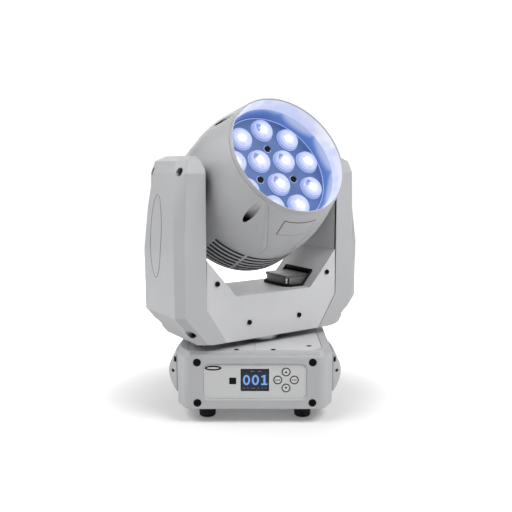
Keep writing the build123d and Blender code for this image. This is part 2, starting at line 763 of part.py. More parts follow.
# ---------------------------------------------------------------- head
FRONT_CURVE = ((93.5, 97.3), (95.7, 90), (100.1, 75), (104.2, 60), (108.0, 45), (111.0, 30),
               (112.5, 15), (112.8, 0), (112.8, SHELL_SEAM))
REAR_CURVE = ((112.8, SHELL_SEAM), (112.8, -25), (112.5, -45), (111.2, -60), (108.2, -71),
              (103.0, -80.5), (95.5, -88), (85.0, -94), (72.0, -98), (60.0, -99.6))


def shell_solid(curve):
    """Solid of revolution under an outer curve."""
    frame = Polyline(curve[-1], (0, curve[-1][1]), (0, curve[0][1]), curve[0])
    return lathe([Spline(*curve), frame])


def front_hollow():
    """Inside of the front shell, open at the mouth and at the seam."""
    points = [(92.2, 98.5), (92.7, 91), (96.2, 77)]
    points += [(r - SHELL_WALL, h) for r, h in FRONT_CURVE[3:]]
    points[-1] = (points[-1][0], SHELL_SEAM - 1)
    return lathe([Spline(*points), Polyline(points[-1], (0, SHELL_SEAM - 1), (0, 98.5), points[0])])


def well_places():
    """The four screw wells of the head, as (x, y)."""
    return [(sx * WELL_CIRCLE_X, sy * WELL_CIRCLE_Y) for sx in (-1, 1) for sy in (-1, 1)]


def outer_radius(height):
    """Radius of the front shell at a height."""
    for (r1, h1), (r0, h0) in zip(FRONT_CURVE, FRONT_CURVE[1:]):
        if height >= h0:
            return r0 + (r1 - r0) * (height - h0) / (h1 - h0)
    return FRONT_CURVE[-1][0]


def sunk_solid(rise):
    """Solid under the surface of the sunken panel, raised by a little."""
    top = FRONT_CURVE[0][1]
    points = []
    for r, h in [place for place in FRONT_CURVE if place[1] > SUNK_RUN]:
        fade = (top - h) / (top - SUNK_RUN)
        points.append((r - SUNK_AT_RIM - (SUNK - SUNK_AT_RIM) * fade + rise, h))
    points.append((outer_radius(SUNK_RUN) - SUNK + rise, SUNK_RUN))
    foot = FRONT_CURVE[-1][0] + 0.1 + rise
    frame = Polyline(points[-1], (foot, 0), (foot, SHELL_SEAM), (0, SHELL_SEAM), (0, points[0][1]), points[0])
    return lathe([Spline(*points), frame])


def panel_half_width(height):
    """Half the width of the sunken panel's floor at a height."""
    return 28.0 + (height + 3.0) * 35.0 / 107.0


def underside_wedge():
    """Plan of the sunken panel under the head, widening towards the rim."""
    points = mirrored_x([(panel_half_width(h), h) for h in (-3.0, 104.0)])
    return prism_y(points, -130, -30)


def label_plate():
    """Blank rating plate on the sunken panel."""
    skin = sunk_solid(0.7) - sunk_solid(0.02)
    return skin & block(*LABEL_X, -130, -30, *LABEL_H)


def front_shell():
    """Bowl-shaped front of the head with screw wells and the sunken underside panel."""
    outside = shell_solid(FRONT_CURVE)
    shell = outside - front_hollow()
    for x, y in well_places():
        shell += upright(9.6, 6.4, 92, x, y) & outside
    shell -= (outside - sunk_solid(0.0)) & underside_wedge()
    mouth = upright(91.9, 75, 110) + upright(90.4, 0, 76)
    shell -= mouth
    for x, y in well_places():
        shell -= upright(WELL_RADIUS, 40, 120, x, y)
        shell -= upright(2.2, 0, 60, x, y)
    return shell - shaft_holes()


def shaft_holes():
    """Clearance for the tilt shafts through both shells."""
    return along_x(SHAFT_RADIUS + 0.6, -130, 130, 0, 0)


def vent_sector(start, stop):
    """Wedge between two angles."""
    middle = (start + stop) / 2
    points = [(0, 0), polar(150, start), polar(150, middle), polar(150, stop)]
    return prism_z(points, -85, 0)


def vents():
    """Concentric slots above and below the rear bowl."""
    rings = []
    for i in range(VENT_COUNT):
        middle = VENT_FIRST - i * VENT_PITCH
        low, high = middle - VENT_WIDTH / 2, middle + VENT_WIDTH / 2
        rings.append(upright(120, low, high) - upright(90, low - 1, high + 1))
    sectors = []
    for start, stop in VENT_SECTORS:
        sectors.append(vent_sector(start, stop))
        sectors.append(vent_sector(-stop, -start))
    cutters = []
    for sector in sectors:
        cutters += [ring & sector for ring in rings]
    return cutters


def rear_shell():
    """Rounded rear of the head with its vents."""
    outside = shell_solid(REAR_CURVE)
    inner = [(r - SHELL_WALL, h) for r, h in REAR_CURVE[:7]] + [(83.0, -90.9), (70.0, -94.8), (58.0, -96.3)]
    inner[0] = (inner[0][0], SHELL_SEAM + 1)
    hollow = lathe([Spline(*inner), Polyline(inner[-1], (0, -96.3), (0, SHELL_SEAM + 1), inner[0])])
    shell = outside - hollow
    shell -= upright(130, SHELL_SEAM - 0.25, SHELL_SEAM + 2)
    for cutter in vents():
        shell -= cutter
    return shell - shaft_holes()


def bezel():
    """Ring round the mouth of the head."""
    return turned((88.7, 79.6), (90.2, 101.9), (90.9, RIM_Z), (RIM_RADIUS, RIM_Z), (93.3, 98.9), (93.3, 97.5),
                  (91.7, 97.5), (90.1, 79.6))


def light_shroud():
    """Dark tube between the LED board and the bezel."""
    return turned((88.4, 24.3), (88.4, 79.4), (89.8, 79.4), (89.8, 24.3))


def head_frame():
    """Ring that carries the tilt shafts, the shells and the heat sink."""
    ring = upright(100, -6, 6) - upright(HEAT_SINK_RADIUS + 1.2, -10, 10)
    for side in (-1, 1):
        ring += along_x(17, side * 87, side * 108, 0, 0)
    for x, y in well_places():
        ring += upright(9.4, -6, 6, x, y)
        ring -= upright(2.0, -10, 10, x, y)
    ring &= upright(109.3, -30, 30) - upright(HEAT_SINK_RADIUS + 1.2, -30, 30)
    return ring - along_x(SHAFT_RADIUS, -130, 130, 0, 0)


def tilt_shafts():
    """Hollow shafts that the head hangs on; the right one drives it."""
    right = along_x(SHAFT_RADIUS, 87.5, 134.5, 0, 0) - along_x(8, 80, 140, 0, 0)
    left = along_x(SHAFT_RADIUS, -127, -87.5, 0, 0) - along_x(8, -140, -80, 0, 0)
    return group([right, left])


def tilt_pulley():
    """Large belt wheel on the right tilt shaft."""
    near, far = TILT_BELT_X
    wheel = along_x(TILT_PULLEY_RADIUS, near, far, 0, 0)
    for i in range(6):
        y, z = polar(25.5, 60 * i)
        wheel -= along_x(6, near - 1, far + 1, y, z)
    return wheel - along_x(SHAFT_RADIUS, near - 1, far + 1, 0, 0)


def rod_places():
    """Centres of the three guide rods."""
    return [polar(SCREW_RING, 90 + 120 * i) for i in range(3)]


def lens_places():
    """Centres of the three inner and nine outer lenses."""
    inner = [polar(INNER_RING, 30 + 120 * i) for i in range(3)]
    return inner + [polar(OUTER_RING, 90 + 40 * i) for i in range(9)]


def heat_sink():
    """Finned heat sink behind the LED board."""
    plate_low = 14.0
    sink = upright(HEAT_SINK_RADIUS, plate_low, LED_BOARD_Z - 0.1)
    disc = upright(HEAT_SINK_RADIUS, FAN_Z[1], plate_low)
    for i in range(-8, 9):
        y = 9.4 * i
        sink += disc & block(-90, 90, y - 1.1, y + 1.1, FAN_Z[1], plate_low + 0.1)
    sink -= upright(26, -30, plate_low)
    sink -= upright(7.5, 0, 30)
    for x, y in rod_places():
        sink -= upright(6, -30, plate_low, x, y)
        sink -= upright(ROD_RADIUS + RUNNING_FIT, 0, 30, x, y)
    return sink


def led_board():
    """Round circuit board under the emitters."""
    board = upright(HEAT_SINK_RADIUS, LED_BOARD_Z, LED_BOARD_Z + 1.8)
    board -= upright(7.5, 0, 30)
    for x, y in rod_places():
        board -= upright(ROD_RADIUS + 0.8, 0, 30, x, y)
    return board


def led_emitters():
    """Twelve light sources, one under each lens."""
    low = LED_BOARD_Z + 1.8
    return group([block(x - 4.5, x + 4.5, y - 4.5, y + 4.5, low, low + 2.6) for x, y in lens_places()])


def lens_plate():
    """Sliding disc that holds the lenses, with the nut of the zoom screw behind it."""
    plate = upright(LENS_PLATE_RADIUS, LENS_PLATE_Z, LENS_PLATE_Z + 3)
    for x, y in lens_places():
        plate -= upright(LENS_RADIUS - 1.2, 0, 100, x, y)
    plate += upright(6.2, 30, LENS_PLATE_Z)
    plate -= upright(ROD_RADIUS + RUNNING_FIT, 0, LENS_PLATE_Z)
    return plate


def lens(x, y):
    """Thick plano-convex lens with a short straight rim."""
    seat, rim, top = LENS_PLATE_Z - 4, LENS_PLATE_Z + 3.1, LENS_PLATE_Z + 6.6
    edges = [
        Polyline((LENS_RADIUS, top), (LENS_RADIUS, rim), (LENS_RADIUS - 1.4, rim),
                 (LENS_RADIUS - 1.4, seat), (0, seat), (0, top + 8)),
        ThreePointArc((0, top + 8), (LENS_RADIUS * 0.62, top + 5.2), (LENS_RADIUS, top)),
    ]
    return Pos(x, y, 0) * lathe(edges)


def lens_screws():
    """Black screws that hold the lens plate to its rods."""
    low = LENS_PLATE_Z + 3
    parts = []
    for x, y in rod_places():
        head = upright(4.6, low, low + 2.6, x, y)
        parts.append(head - upright(2.0, low + 1.2, low + 4, x, y))
    return group(parts)


def guide_rods():
    """Three rods that slide in the heat sink."""
    return group([upright(ROD_RADIUS, 4, LENS_PLATE_Z, x, y) for x, y in rod_places()])


def zoom_motor():
    """Small motor in the middle of the heat sink."""
    body = Pos(0, 0, 13.6) * motor_block(34, 20, 3)
    return body - upright(ROD_RADIUS + RUNNING_FIT, -4.5, 30)


def zoom_screw():
    """Lead screw of the zoom."""
    return upright(ROD_RADIUS, -4, 43)


def fan_frame():
    """Square fan housing with four spokes and the bearing hub."""
    low, high = FAN_Z
    frame = block(-60, 60, -60, 60, low, high) - upright(57, low - 1, high + 1)
    for sx in (-1, 1):
        for sy in (-1, 1):
            frame -= upright(2.2, low - 1, high + 1, sx * 52.5, sy * 52.5)
    for angle in (45, 135):
        frame += Rot(0, 0, angle) * block(-60, 60, -2, 2, low, low + 3.6)
    frame += upright(20, low, low + 3.8)
    return frame - upright(2.5 + RUNNING_FIT, low - 1, high + 1)


def fan_rotor():
    """Fan hub with seven pitched blades."""
    low, high = FAN_Z
    hub = upright(20, low + 4.4, high - 1)
    rotor = hub + upright(2.5, low + 0.5, low + 5)
    blade = Pos(36, 0, (low + high) / 2 + 1.5) * Rot(38, 0, 0) * Box(36, 22, 2)
    for i in range(7):
        rotor += Rot(0, 0, 360 / 7 * i) * blade
    return rotor


def head_screws():
    """Screws at the bottom of the head's wells."""
    parts = []
    for x, y in well_places():
        screw = upright(4.8, 40.1, 43.4, x, y) + upright(1.9, -4, 40.1, x, y)
        parts.append(screw - upright(1.8, 41.6, 46, x, y))
    return group(parts)


def make_head():
    """All pieces that tilt."""
    keep("head_front_shell", front_shell(), HEAD_PLACE)
    keep("head_rear_shell", rear_shell(), HEAD_PLACE)
    keep("head_bezel", bezel(), HEAD_PLACE)
    keep("light_shroud", light_shroud(), HEAD_PLACE)
    keep("head_frame", head_frame(), HEAD_PLACE)
    keep("tilt_shafts", tilt_shafts(), HEAD_PLACE)
    keep("tilt_pulley", tilt_pulley(), HEAD_PLACE)
    keep("heat_sink", heat_sink(), HEAD_PLACE)
    keep("led_board", led_board(), HEAD_PLACE)
    keep("led_emitters", led_emitters(), HEAD_PLACE)
    keep("fan_frame", fan_frame(), HEAD_PLACE)
    keep("fan_rotor", fan_rotor(), HEAD_PLACE)
    keep("zoom_motor", zoom_motor(), HEAD_PLACE)
    keep("zoom_screw", zoom_screw(), HEAD_PLACE)
    keep("head_screws", head_screws(), HEAD_PLACE)
    keep("label_plate", label_plate(), HEAD_PLACE)
    keep("lens_plate", lens_plate(), HEAD_PLACE)
    keep("lenses", group([lens(x, y) for x, y in lens_places()]), HEAD_PLACE)
    keep("lens_plate_screws", lens_screws(), HEAD_PLACE)
    keep("guide_rods", guide_rods(), HEAD_PLACE)


make_base()
make_yoke()
make_head()

os.makedirs("parts", exist_ok=True)
for name, shape in PIECES.items():
    export_step(shape, f"parts/{name}.step")
print(len(PIECES), "nodes")
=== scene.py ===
"""Moving head wash light: materials, lit lenses, display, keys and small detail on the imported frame."""

import json
from math import cos, pi, radians, sin, sqrt

import bpy
from mathutils import Matrix, Vector
from mathutils.bvhtree import BVHTree


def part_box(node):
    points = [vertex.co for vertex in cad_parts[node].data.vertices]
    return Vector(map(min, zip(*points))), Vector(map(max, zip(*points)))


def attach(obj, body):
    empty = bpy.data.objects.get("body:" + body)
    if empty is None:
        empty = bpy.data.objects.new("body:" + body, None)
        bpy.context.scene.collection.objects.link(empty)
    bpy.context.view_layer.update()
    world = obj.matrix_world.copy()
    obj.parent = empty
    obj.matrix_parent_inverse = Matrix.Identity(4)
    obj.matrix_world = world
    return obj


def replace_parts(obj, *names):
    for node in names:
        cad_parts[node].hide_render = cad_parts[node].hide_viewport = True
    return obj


MM = 0.001
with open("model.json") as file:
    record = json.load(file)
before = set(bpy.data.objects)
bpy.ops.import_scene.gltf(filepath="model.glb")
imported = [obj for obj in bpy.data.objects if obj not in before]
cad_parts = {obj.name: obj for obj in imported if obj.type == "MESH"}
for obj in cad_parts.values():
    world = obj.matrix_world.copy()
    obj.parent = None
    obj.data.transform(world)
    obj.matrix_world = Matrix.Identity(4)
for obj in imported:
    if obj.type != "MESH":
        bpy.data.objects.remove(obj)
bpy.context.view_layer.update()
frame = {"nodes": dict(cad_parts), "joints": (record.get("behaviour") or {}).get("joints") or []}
joints = {joint["name"]: joint for joint in frame["joints"]}


# ---------------------------------------------------------------- frames
def axes_to_matrix(x, z, origin):
    """Matrix whose local X and Z point along the two directions."""
    x, z = Vector(x).normalized(), Vector(z).normalized()
    y = z.cross(x)
    matrix = Matrix((x, y, z)).transposed().to_4x4()
    matrix.translation = Vector(origin)
    return matrix


HEAD = axes_to_matrix(joints["tilt"]["axis"], joints["zoom"]["axis"], joints["tilt"]["pos_m"])
YOKE = axes_to_matrix(joints["tilt"]["axis"], (0, 0, 1), (0, 0, 0))
FACE = Matrix(((1, 0, 0, 0), (0, 0, -1, 0), (0, 1, 0, 0), (0, 0, 0, 1)))   # local XY seen from the front


def span(node, matrix):
    """Lowest and highest corner of a CAD node in a local frame."""
    inverse = matrix.inverted()
    points = [inverse @ v.co for v in frame["nodes"][node].data.vertices]
    low = Vector([min(p[i] for p in points) for i in range(3)])
    high = Vector([max(p[i] for p in points) for i in range(3)])
    return low, high


# ---------------------------------------------------------------- node materials
class Tree:
    """One material's node tree with short ways to add and join nodes."""

    def __init__(self, name):
        self.material = bpy.data.materials.new(name)
        self.material.use_nodes = True
        self.nodes = self.material.node_tree.nodes
        self.links = self.material.node_tree.links
        self.nodes.clear()
        out = self.add("OutputMaterial")
        self.shader = self.add("BsdfPrincipled")
        self.links.new(self.shader.outputs[0], out.inputs[0])

    def add(self, kind, **settings):
        """New node; settings are its own properties."""
        node = self.nodes.new("ShaderNode" + kind)
        for key, value in settings.items():
            setattr(node, key, value)
        return node

    def feed(self, socket, value):
        """Join an input to another node's output, or give it a value."""
        if isinstance(value, bpy.types.NodeSocket):
            self.links.new(value, socket)
        else:
            socket.default_value = value

    def set(self, node, **values):
        """Feed a node's inputs by name, with _ for a space."""
        for key, value in values.items():
            self.feed(node.inputs[key.replace("_", " ")], value)
        return node

    def math(self, operation, a, b=0.0):
        """Arithmetic on two values."""
        node = self.add("Math", operation=operation)
        self.feed(node.inputs[0], a)
        self.feed(node.inputs[1], b)
        return node.outputs[0]

    def length(self, a, b):
        """Distance of a place from the middle, from its two coordinates."""
        return self.math("SQRT", self.math("ADD", self.math("MULTIPLY", a, a), self.math("MULTIPLY", b, b)))

    def dot(self, vector, direction):
        """Share of a vector along a direction."""
        node = self.add("VectorMath", operation="DOT_PRODUCT")
        self.feed(node.inputs[0], vector)
        self.feed(node.inputs[1], direction)
        return node.outputs[1]

    def smooth(self, value, low, high, to_low=0.0, to_high=1.0):
        """Smooth step of a value."""
        node = self.add("MapRange", interpolation_type="SMOOTHSTEP")
        self.set(node, Value=value, From_Min=low, From_Max=high, To_Min=to_low, To_Max=to_high)
        return node.outputs[0]

    def mix(self, factor, a, b):
        """Mix of two colours."""
        node = self.add("Mix", data_type="RGBA")
        for index, value in ((0, factor), (6, a), (7, b)):
            self.feed(node.inputs[index], value)
        return node.outputs[2]

    def place(self, source="Object", scale=(1, 1, 1)):
        """Texture coordinates."""
        coords = self.add("TexCoord").outputs[source]
        if scale == (1, 1, 1):
            return coords
        return self.set(self.add("Mapping"), Vector=coords, Scale=scale).outputs[0]

    def noise(self, vector, scale, detail=2.0):
        """Noise value."""
        node = self.set(self.add("TexNoise"), Vector=vector, Scale=scale, Detail=detail)
        return node.outputs[0]

    def parts(self, vector):
        """X, Y and Z of a vector."""
        node = self.set(self.add("SeparateXYZ"), Vector=vector)
        return node.outputs


def rgb(value, gain=1.0):
    """Colour with alpha from three numbers."""
    return tuple(min(1.0, c * gain) for c in value) + (1.0,)


CLOUDS, SMEARS = 22.0, 65.0   # how dense the clouds of colour and the smears of gloss are
RECESS = 0.0145               # how near a wall has to be for painted shade in recesses and gaps, metres
SOFT_SAMPLES = 6


def surface(name, colour, rough, grain=900.0, bump=0.05, spread=0.04, scale=(1, 1, 1), ease=0.0,
            **sockets):
    """Opaque finish with fine grain, soft colour variation and uneven gloss; ease rounds its edges and paints
    shade into recesses.
    """
    tree = Tree(name)
    place = tree.place(scale=scale)
    cloud = tree.noise(place, CLOUDS, 3.0)
    colour_out = tree.mix(cloud, rgb(colour, 1 - spread), rgb(colour, 1 + spread))
    specks = tree.smooth(tree.noise(place, grain * 0.7, 1.0), 0.62, 0.78)
    colour_out = tree.mix(tree.math("MULTIPLY", specks, 0.25), colour_out, rgb(colour, 0.82))
    smears = tree.noise(place, SMEARS, 4.0)
    rough_out = tree.smooth(smears, 0.25, 0.75, rough - 0.06, rough + 0.07)
    height = tree.noise(place, grain, 3.0)
    relief = tree.set(tree.add("Bump"), Height=height, Strength=bump, Distance=0.0006)
    if ease:
        corner = tree.set(tree.add("Bevel", samples=SOFT_SAMPLES), Radius=ease)
        tree.set(relief, Normal=corner.outputs[0])
        # painted shade: where other walls are near, the colour darkens towards near black, in recesses, gaps,
        # slots and wells
        occlusion = tree.set(tree.add("AmbientOcclusion", samples=SOFT_SAMPLES), Distance=RECESS)
        shade = tree.smooth(occlusion.outputs["AO"], 0.16, 0.66, 0.88, 0.0)
        colour_out = tree.mix(shade, colour_out, rgb(colour, 0.12))
    tree.set(tree.shader, Base_Color=colour_out, Roughness=rough_out, Normal=relief.outputs[0], **sockets)
    tree.colour = colour_out
    return tree


def glow(tree, colour, strength):
    """Even painted glow, for a part that is no lamp."""
    tree.set(tree.shader, Emission_Color=rgb(colour), Emission_Strength=strength)


def paint(tree, *nodes):
    """Give CAD nodes a material."""
    for name in nodes:
        slots = frame["nodes"][name].data.materials
        slots.clear()
        slots.append(tree.material)


def head_place(tree):
    """Object coordinates turned into the head's own frame, in metres."""
    shifted = tree.add("VectorMath", operation="SUBTRACT")
    tree.feed(shifted.inputs[0], tree.place())
    tree.feed(shifted.inputs[1], HEAD.translation)
    return [tree.dot(shifted.outputs[0], HEAD.to_3x3().col[axis]) for axis in range(3)]


# ---------------------------------------------------------------- covers, sheets and inner pieces
BODY = (0.435, 0.438, 0.448)
SHEET = (0.560, 0.562, 0.572)
FILM = (0.566, 0.569, 0.572)
LABEL = (0.430, 0.433, 0.442)
LABEL_EDGE_SHADE = (0.13, 0.13, 0.135)
SLOT_DARK = (0.075, 0.075, 0.078)
REAR_END = -0.075             # height of the rear shell's flat end, metres
TURNED = (1, 1, 12)           # grain drawn out round a turned metal piece
DRAWN = (1, 1, 9)             # grain drawn out on a ground metal piece


def vent_shade(tree):
    """Darkens the walls of the cooling slots, which face along the head's axis."""
    facing = tree.dot(tree.place("Normal"), HEAD.to_3x3().col[2])
    wall = tree.smooth(tree.math("ABSOLUTE", facing), 0.955, 0.975)
    height = head_place(tree)[2]
    slotted = tree.smooth(height, REAR_END - 0.001, REAR_END + 0.001)
    dark = tree.mix(tree.math("MULTIPLY", wall, slotted), tree.colour, rgb(SLOT_DARK))
    tree.set(tree.shader, Base_Color=dark)


def label_finish():
    """Blank rating plate with a dark line of painted shadow along its edge."""
    tree = surface("label_grey", LABEL, 0.42, 1500.0, 0.03, 0.02)
    x, _, height = head_place(tree)
    low, high = span("label_plate", HEAD)
    across = tree.math("MINIMUM", tree.math("SUBTRACT", x, low.x), tree.math("SUBTRACT", high.x, x))
    along = tree.math("MINIMUM", tree.math("SUBTRACT", height, low.z), tree.math("SUBTRACT", high.z, height))
    # painted shadow: a dark line along the plate's edge
    line = tree.smooth(tree.math("MINIMUM", across, along), 0.0006, 0.0009, 1.0, 0.0)
    tree.set(tree.shader, Base_Color=tree.mix(line, tree.colour, rgb(LABEL_EDGE_SHADE)))
    return tree


def make_body_materials():
    """Moulded covers, painted sheets, panel film and rating plate; gives back the moulded finish."""
    # ease on the moulded and sheet finishes also paints shade into their recesses and gaps
    moulded = surface("moulded_grey", BODY, 0.40, 1100.0, 0.10, ease=0.0013)
    paint(moulded, "base_front_cap", "base_rear_cap", "side_handle_right", "side_handle_left",
          "arm_cover_right", "arm_cover_left", "head_front_shell")
    vented = surface("moulded_vented", BODY, 0.40, 1100.0, 0.10)
    vent_shade(vented)
    paint(vented, "head_rear_shell")
    sheet = surface("powder_coat", SHEET, 0.42, 700.0, 0.07, ease=0.0006)
    paint(sheet, "base_tray", "base_top_plate", "yoke_front_plate", "yoke_back_plate", "yoke_saddle",
          "yoke_floor", "motor_brackets")
    paint(surface("panel_film", FILM, 0.36, 1500.0, 0.03, 0.02), "control_fascia")
    paint(label_finish(), "label_plate")
    return moulded


def make_metal_materials():
    """Screws, wheels, shafts, bearings and cooled parts."""
    paint(surface("black_steel", (0.005, 0.005, 0.006), 0.55, 2500.0, 0.10, Specular_IOR_Level=0.10),
          "base_screws", "yoke_screws", "head_screws", "lens_plate_screws")
    paint(surface("spun_aluminium", (0.55, 0.56, 0.58), 0.34, 1500.0, 0.08, 0.05, TURNED, Metallic=1.0),
          "pan_pulley", "pan_motor_pulley", "tilt_motor_pulley", "tilt_pulley", "power_supply")
    paint(surface("black_anodised", (0.045, 0.045, 0.048), 0.42, 1500.0, 0.06, 0.08, Metallic=0.4),
          "head_frame", "heat_sink")
    paint(surface("turned_steel", (0.45, 0.455, 0.47), 0.30, 1900.0, 0.06, 0.06, DRAWN, Metallic=1.0),
          "pan_bearing", "tilt_bearings", "tilt_shafts", "guide_rods", "zoom_screw", "rigging_sockets")
    paint(surface("neck_metal", (0.66, 0.66, 0.67), 0.22, 1900.0, 0.04, 0.05, DRAWN, Metallic=1.0),
          "pan_column")


def make_plastic_materials():
    """Rubber, belts, fan, sockets, circuit boards and emitters."""
    paint(surface("foot_rubber", (0.008, 0.008, 0.009), 0.72, 1300.0, 0.30, Specular_IOR_Level=0.25), "feet")
    paint(surface("belt_rubber", (0.018, 0.018, 0.018), 0.65, 2200.0, 0.25), "pan_belt", "tilt_belt")
    paint(surface("fan_plastic", (0.02, 0.02, 0.022), 0.45, 1600.0, 0.08), "fan_frame", "fan_rotor")
    paint(surface("socket_plastic", (0.018, 0.02, 0.025), 0.30, 1800.0, 0.05), "power_connectors",
          "dmx_inputs", "dmx_outputs")
    paint(surface("solder_mask", (0.012, 0.085, 0.04), 0.28, 500.0, 0.05, 0.15, Coat_Weight=0.4),
          "control_board", "led_board")
    paint(surface("led_resin", (0.75, 0.78, 0.9), 0.25, 1200.0, 0.02, 0.03), "led_emitters")


END_CAP = 0.0041              # thickness of a motor's end cap, metres


def stack_finish(tree, top):
    """Thin sheets stacked under the end cap of a motor, by height."""
    height = tree.parts(tree.place())[2]
    cap = tree.smooth(height, top - END_CAP - 0.0001, top - END_CAP + 0.0001)
    sheets = tree.smooth(tree.math("SINE", tree.math("MULTIPLY", height, 9000.0)), -0.4, 0.4, 0.82, 1.0)
    stack = tree.mix(sheets, rgb((0.14, 0.14, 0.144)), rgb((0.22, 0.22, 0.225)))
    tree.set(tree.shader, Base_Color=tree.mix(cap, stack, rgb((0.125, 0.125, 0.128))))


def make_motor_materials():
    """Dark motors, with their stacked sheets where these show."""
    for name in ("pan_motor", "tilt_motor", "zoom_motor"):
        tree = surface(name + "_finish", (0.20, 0.20, 0.205), 0.40, 1200.0, 0.08, 0.08, Metallic=0.35)
        if name != "tilt_motor":
            stack_finish(tree, span(name, YOKE)[1].z)
        paint(tree, name)


# ---------------------------------------------------------------- painted light inside the mouth
BEZEL_LIP = 0.1018            # height where the bezel's unlit lip starts, metres
BEZEL_INSIDE = 0.0887         # inner radius of the bezel at its foot, metres
BEZEL_FLARE = 1.5 / 22.3      # how much its inner wall widens for each unit of height
LOBES = 4.5                   # scallops of painted light round half of the tube
LOBE_TURN = radians(10)       # where the first one stands
LOBE_REACH = 0.0135           # how far the tallest reaches down, metres


def carrier_finish():
    """Lens carrier with painted glow for the light of its lenses."""
    tree = surface("carrier_painted_glow", (0.03, 0.06, 0.14), 0.45, 900.0, 0.05, 0.08, Specular_IOR_Level=0.2)
    x, y, _ = head_place(tree)
    # painted light: the glow shifts in tone across the carrier and darkens in soft clouds
    sweep = tree.smooth(tree.math("ADD", x, tree.math("MULTIPLY", y, -0.6)), -0.09, 0.10)
    lit = tree.mix(sweep, rgb((0.19, 0.30, 0.66)), rgb((0.17, 0.28, 0.70)))
    cloud = tree.smooth(tree.noise(tree.place(), 30.0, 2.0), 0.35, 0.7)
    lit = tree.mix(cloud, lit, rgb((0.13, 0.22, 0.56)))
    tree.set(tree.shader, Emission_Color=lit, Emission_Strength=0.38)
    return tree


def tube_finish():
    """Dark tube with painted glow: scallops of painted light along its rim, brighter towards one side and
    towards the top.
    """
    tree = surface("tube_painted_glow", (0.04, 0.055, 0.12), 0.32, 900.0, 0.04, 0.08)
    top = span("light_shroud", HEAD)[1].z
    x, y, height = head_place(tree)
    turn = tree.math("MULTIPLY", tree.math("SUBTRACT", tree.math("ARCTAN2", y, x), LOBE_TURN), LOBES)
    lobe = tree.math("POWER", tree.math("ABSOLUTE", tree.math("COSINE", turn)), 0.6)
    # painted light: the glow is brighter towards one side of the head, and its scallops reach further there
    side = tree.smooth(x, 0.0, 0.045)
    reach = tree.math("MULTIPLY", tree.math("MULTIPLY", lobe, tree.math("ADD", side, 0.10)), LOBE_REACH)
    above = tree.math("SUBTRACT", tree.math("ADD", height, reach), top)
    scallop = tree.smooth(above, -0.0065, 0.0090)
    # painted light: brighter towards the top of the tube
    deep = tree.mix(tree.smooth(height, top - 0.026, top), rgb((0.045, 0.095, 0.34)), rgb((0.10, 0.20, 0.52)))
    deep = tree.mix(tree.math("MULTIPLY", side, 0.55), deep, rgb((0.13, 0.26, 0.70)))
    deep = tree.mix(tree.math("MULTIPLY", scallop, 0.62), deep, rgb((0.70, 0.76, 0.98)))
    tree.set(tree.shader, Emission_Color=deep, Emission_Strength=0.80)
    return tree


def bezel_finish():
    """Bezel with painted glow on its inner wall, in soft clouds of painted light, and an unlit lip."""
    tree = surface("bezel_lit", (0.40, 0.405, 0.42), 0.34, 1000.0, 0.05, 0.02)
    low, high = span("head_bezel", HEAD)
    x, y, height = head_place(tree)
    flare = tree.math("MULTIPLY", tree.math("SUBTRACT", height, low.z), BEZEL_FLARE)
    depth = tree.math("SUBTRACT", tree.length(x, y), tree.math("ADD", flare, BEZEL_INSIDE))
    wall = tree.smooth(depth, 0.0003, 0.0006, 1.0, 0.0)
    wall = tree.math("MULTIPLY", wall, tree.smooth(height, BEZEL_LIP, BEZEL_LIP + 0.0003, 1.0, 0.0))
    # painted light: the glow on the inner wall changes with height and has whiter and bluer clouds
    lit = tree.mix(tree.smooth(height, low.z, high.z), rgb((0.58, 0.64, 0.96)), rgb((0.72, 0.74, 0.88)))
    cloud = tree.smooth(tree.noise(tree.place(), 21.0, 2.0), 0.42, 0.60)
    lit = tree.mix(tree.math("MULTIPLY", cloud, 0.75), lit, rgb((1.0, 0.98, 1.0)))
    bluer_glow = tree.smooth(tree.noise(tree.place(scale=(1.7, 1.7, 1.7)), 24.0, 1.0), 0.52, 0.66)
    lit = tree.mix(tree.math("MULTIPLY", bluer_glow, 0.55), lit, rgb((0.46, 0.55, 0.95)))
    tree.set(tree.shader, Emission_Color=tree.mix(wall, rgb((0, 0, 0)), lit), Emission_Strength=0.62)
    return tree


def make_light_materials():
    """Lens carrier, dark tube and bezel of the head, all with painted glow for the light of the lenses."""
    paint(carrier_finish(), "lens_plate")
    paint(tube_finish(), "light_shroud")
    paint(bezel_finish(), "head_bezel")


# ---------------------------------------------------------------- mesh helpers
def add_piece(name, verts, faces, tree, body, smooth=True, uvs=None):
    """Mesh object that rides on a CAD body."""
    mesh = bpy.data.meshes.new(name)
    mesh.from_pydata([tuple(v) for v in verts], [], faces)
    if uvs is not None:
        layer = mesh.uv_layers.new(name="local")
        for loop in mesh.loops:
            layer.data[loop.index].uv = uvs[loop.vertex_index]
    for polygon in mesh.polygons:
        polygon.use_smooth = smooth
    mesh.update()
    piece = bpy.data.objects.new(name, mesh)
    bpy.context.scene.collection.objects.link(piece)
    mesh.materials.append(tree.material)
    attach(piece, body)
    return piece


def lathe(profile, matrix, centre=(0, 0), steps=48, closed=False):
    """Vertices and faces of a profile of (radius, height) turned about a local Z axis."""
    verts, faces = [], []
    for radius, height in profile:
        for step in range(steps):
            turn = 2 * pi * step / steps
            point = Vector((centre[0] + radius * cos(turn), centre[1] + radius * sin(turn), height))
            verts.append(matrix @ (point * MM))
    rows = len(profile) if closed else len(profile) - 1
    for row in range(rows):
        upper = (row + 1) % len(profile)
        for step in range(steps):
            after = (step + 1) % steps
            faces.append((row * steps + step, row * steps + after,
                          upper * steps + after, upper * steps + step))
    return verts, faces


def joined(shapes):
    """Several (vertices, faces) as one."""
    verts, faces = [], []
    for more_verts, more_faces in shapes:
        start = len(verts)
        verts += more_verts
        faces += [tuple(index + start for index in face) for face in more_faces]
    return verts, faces


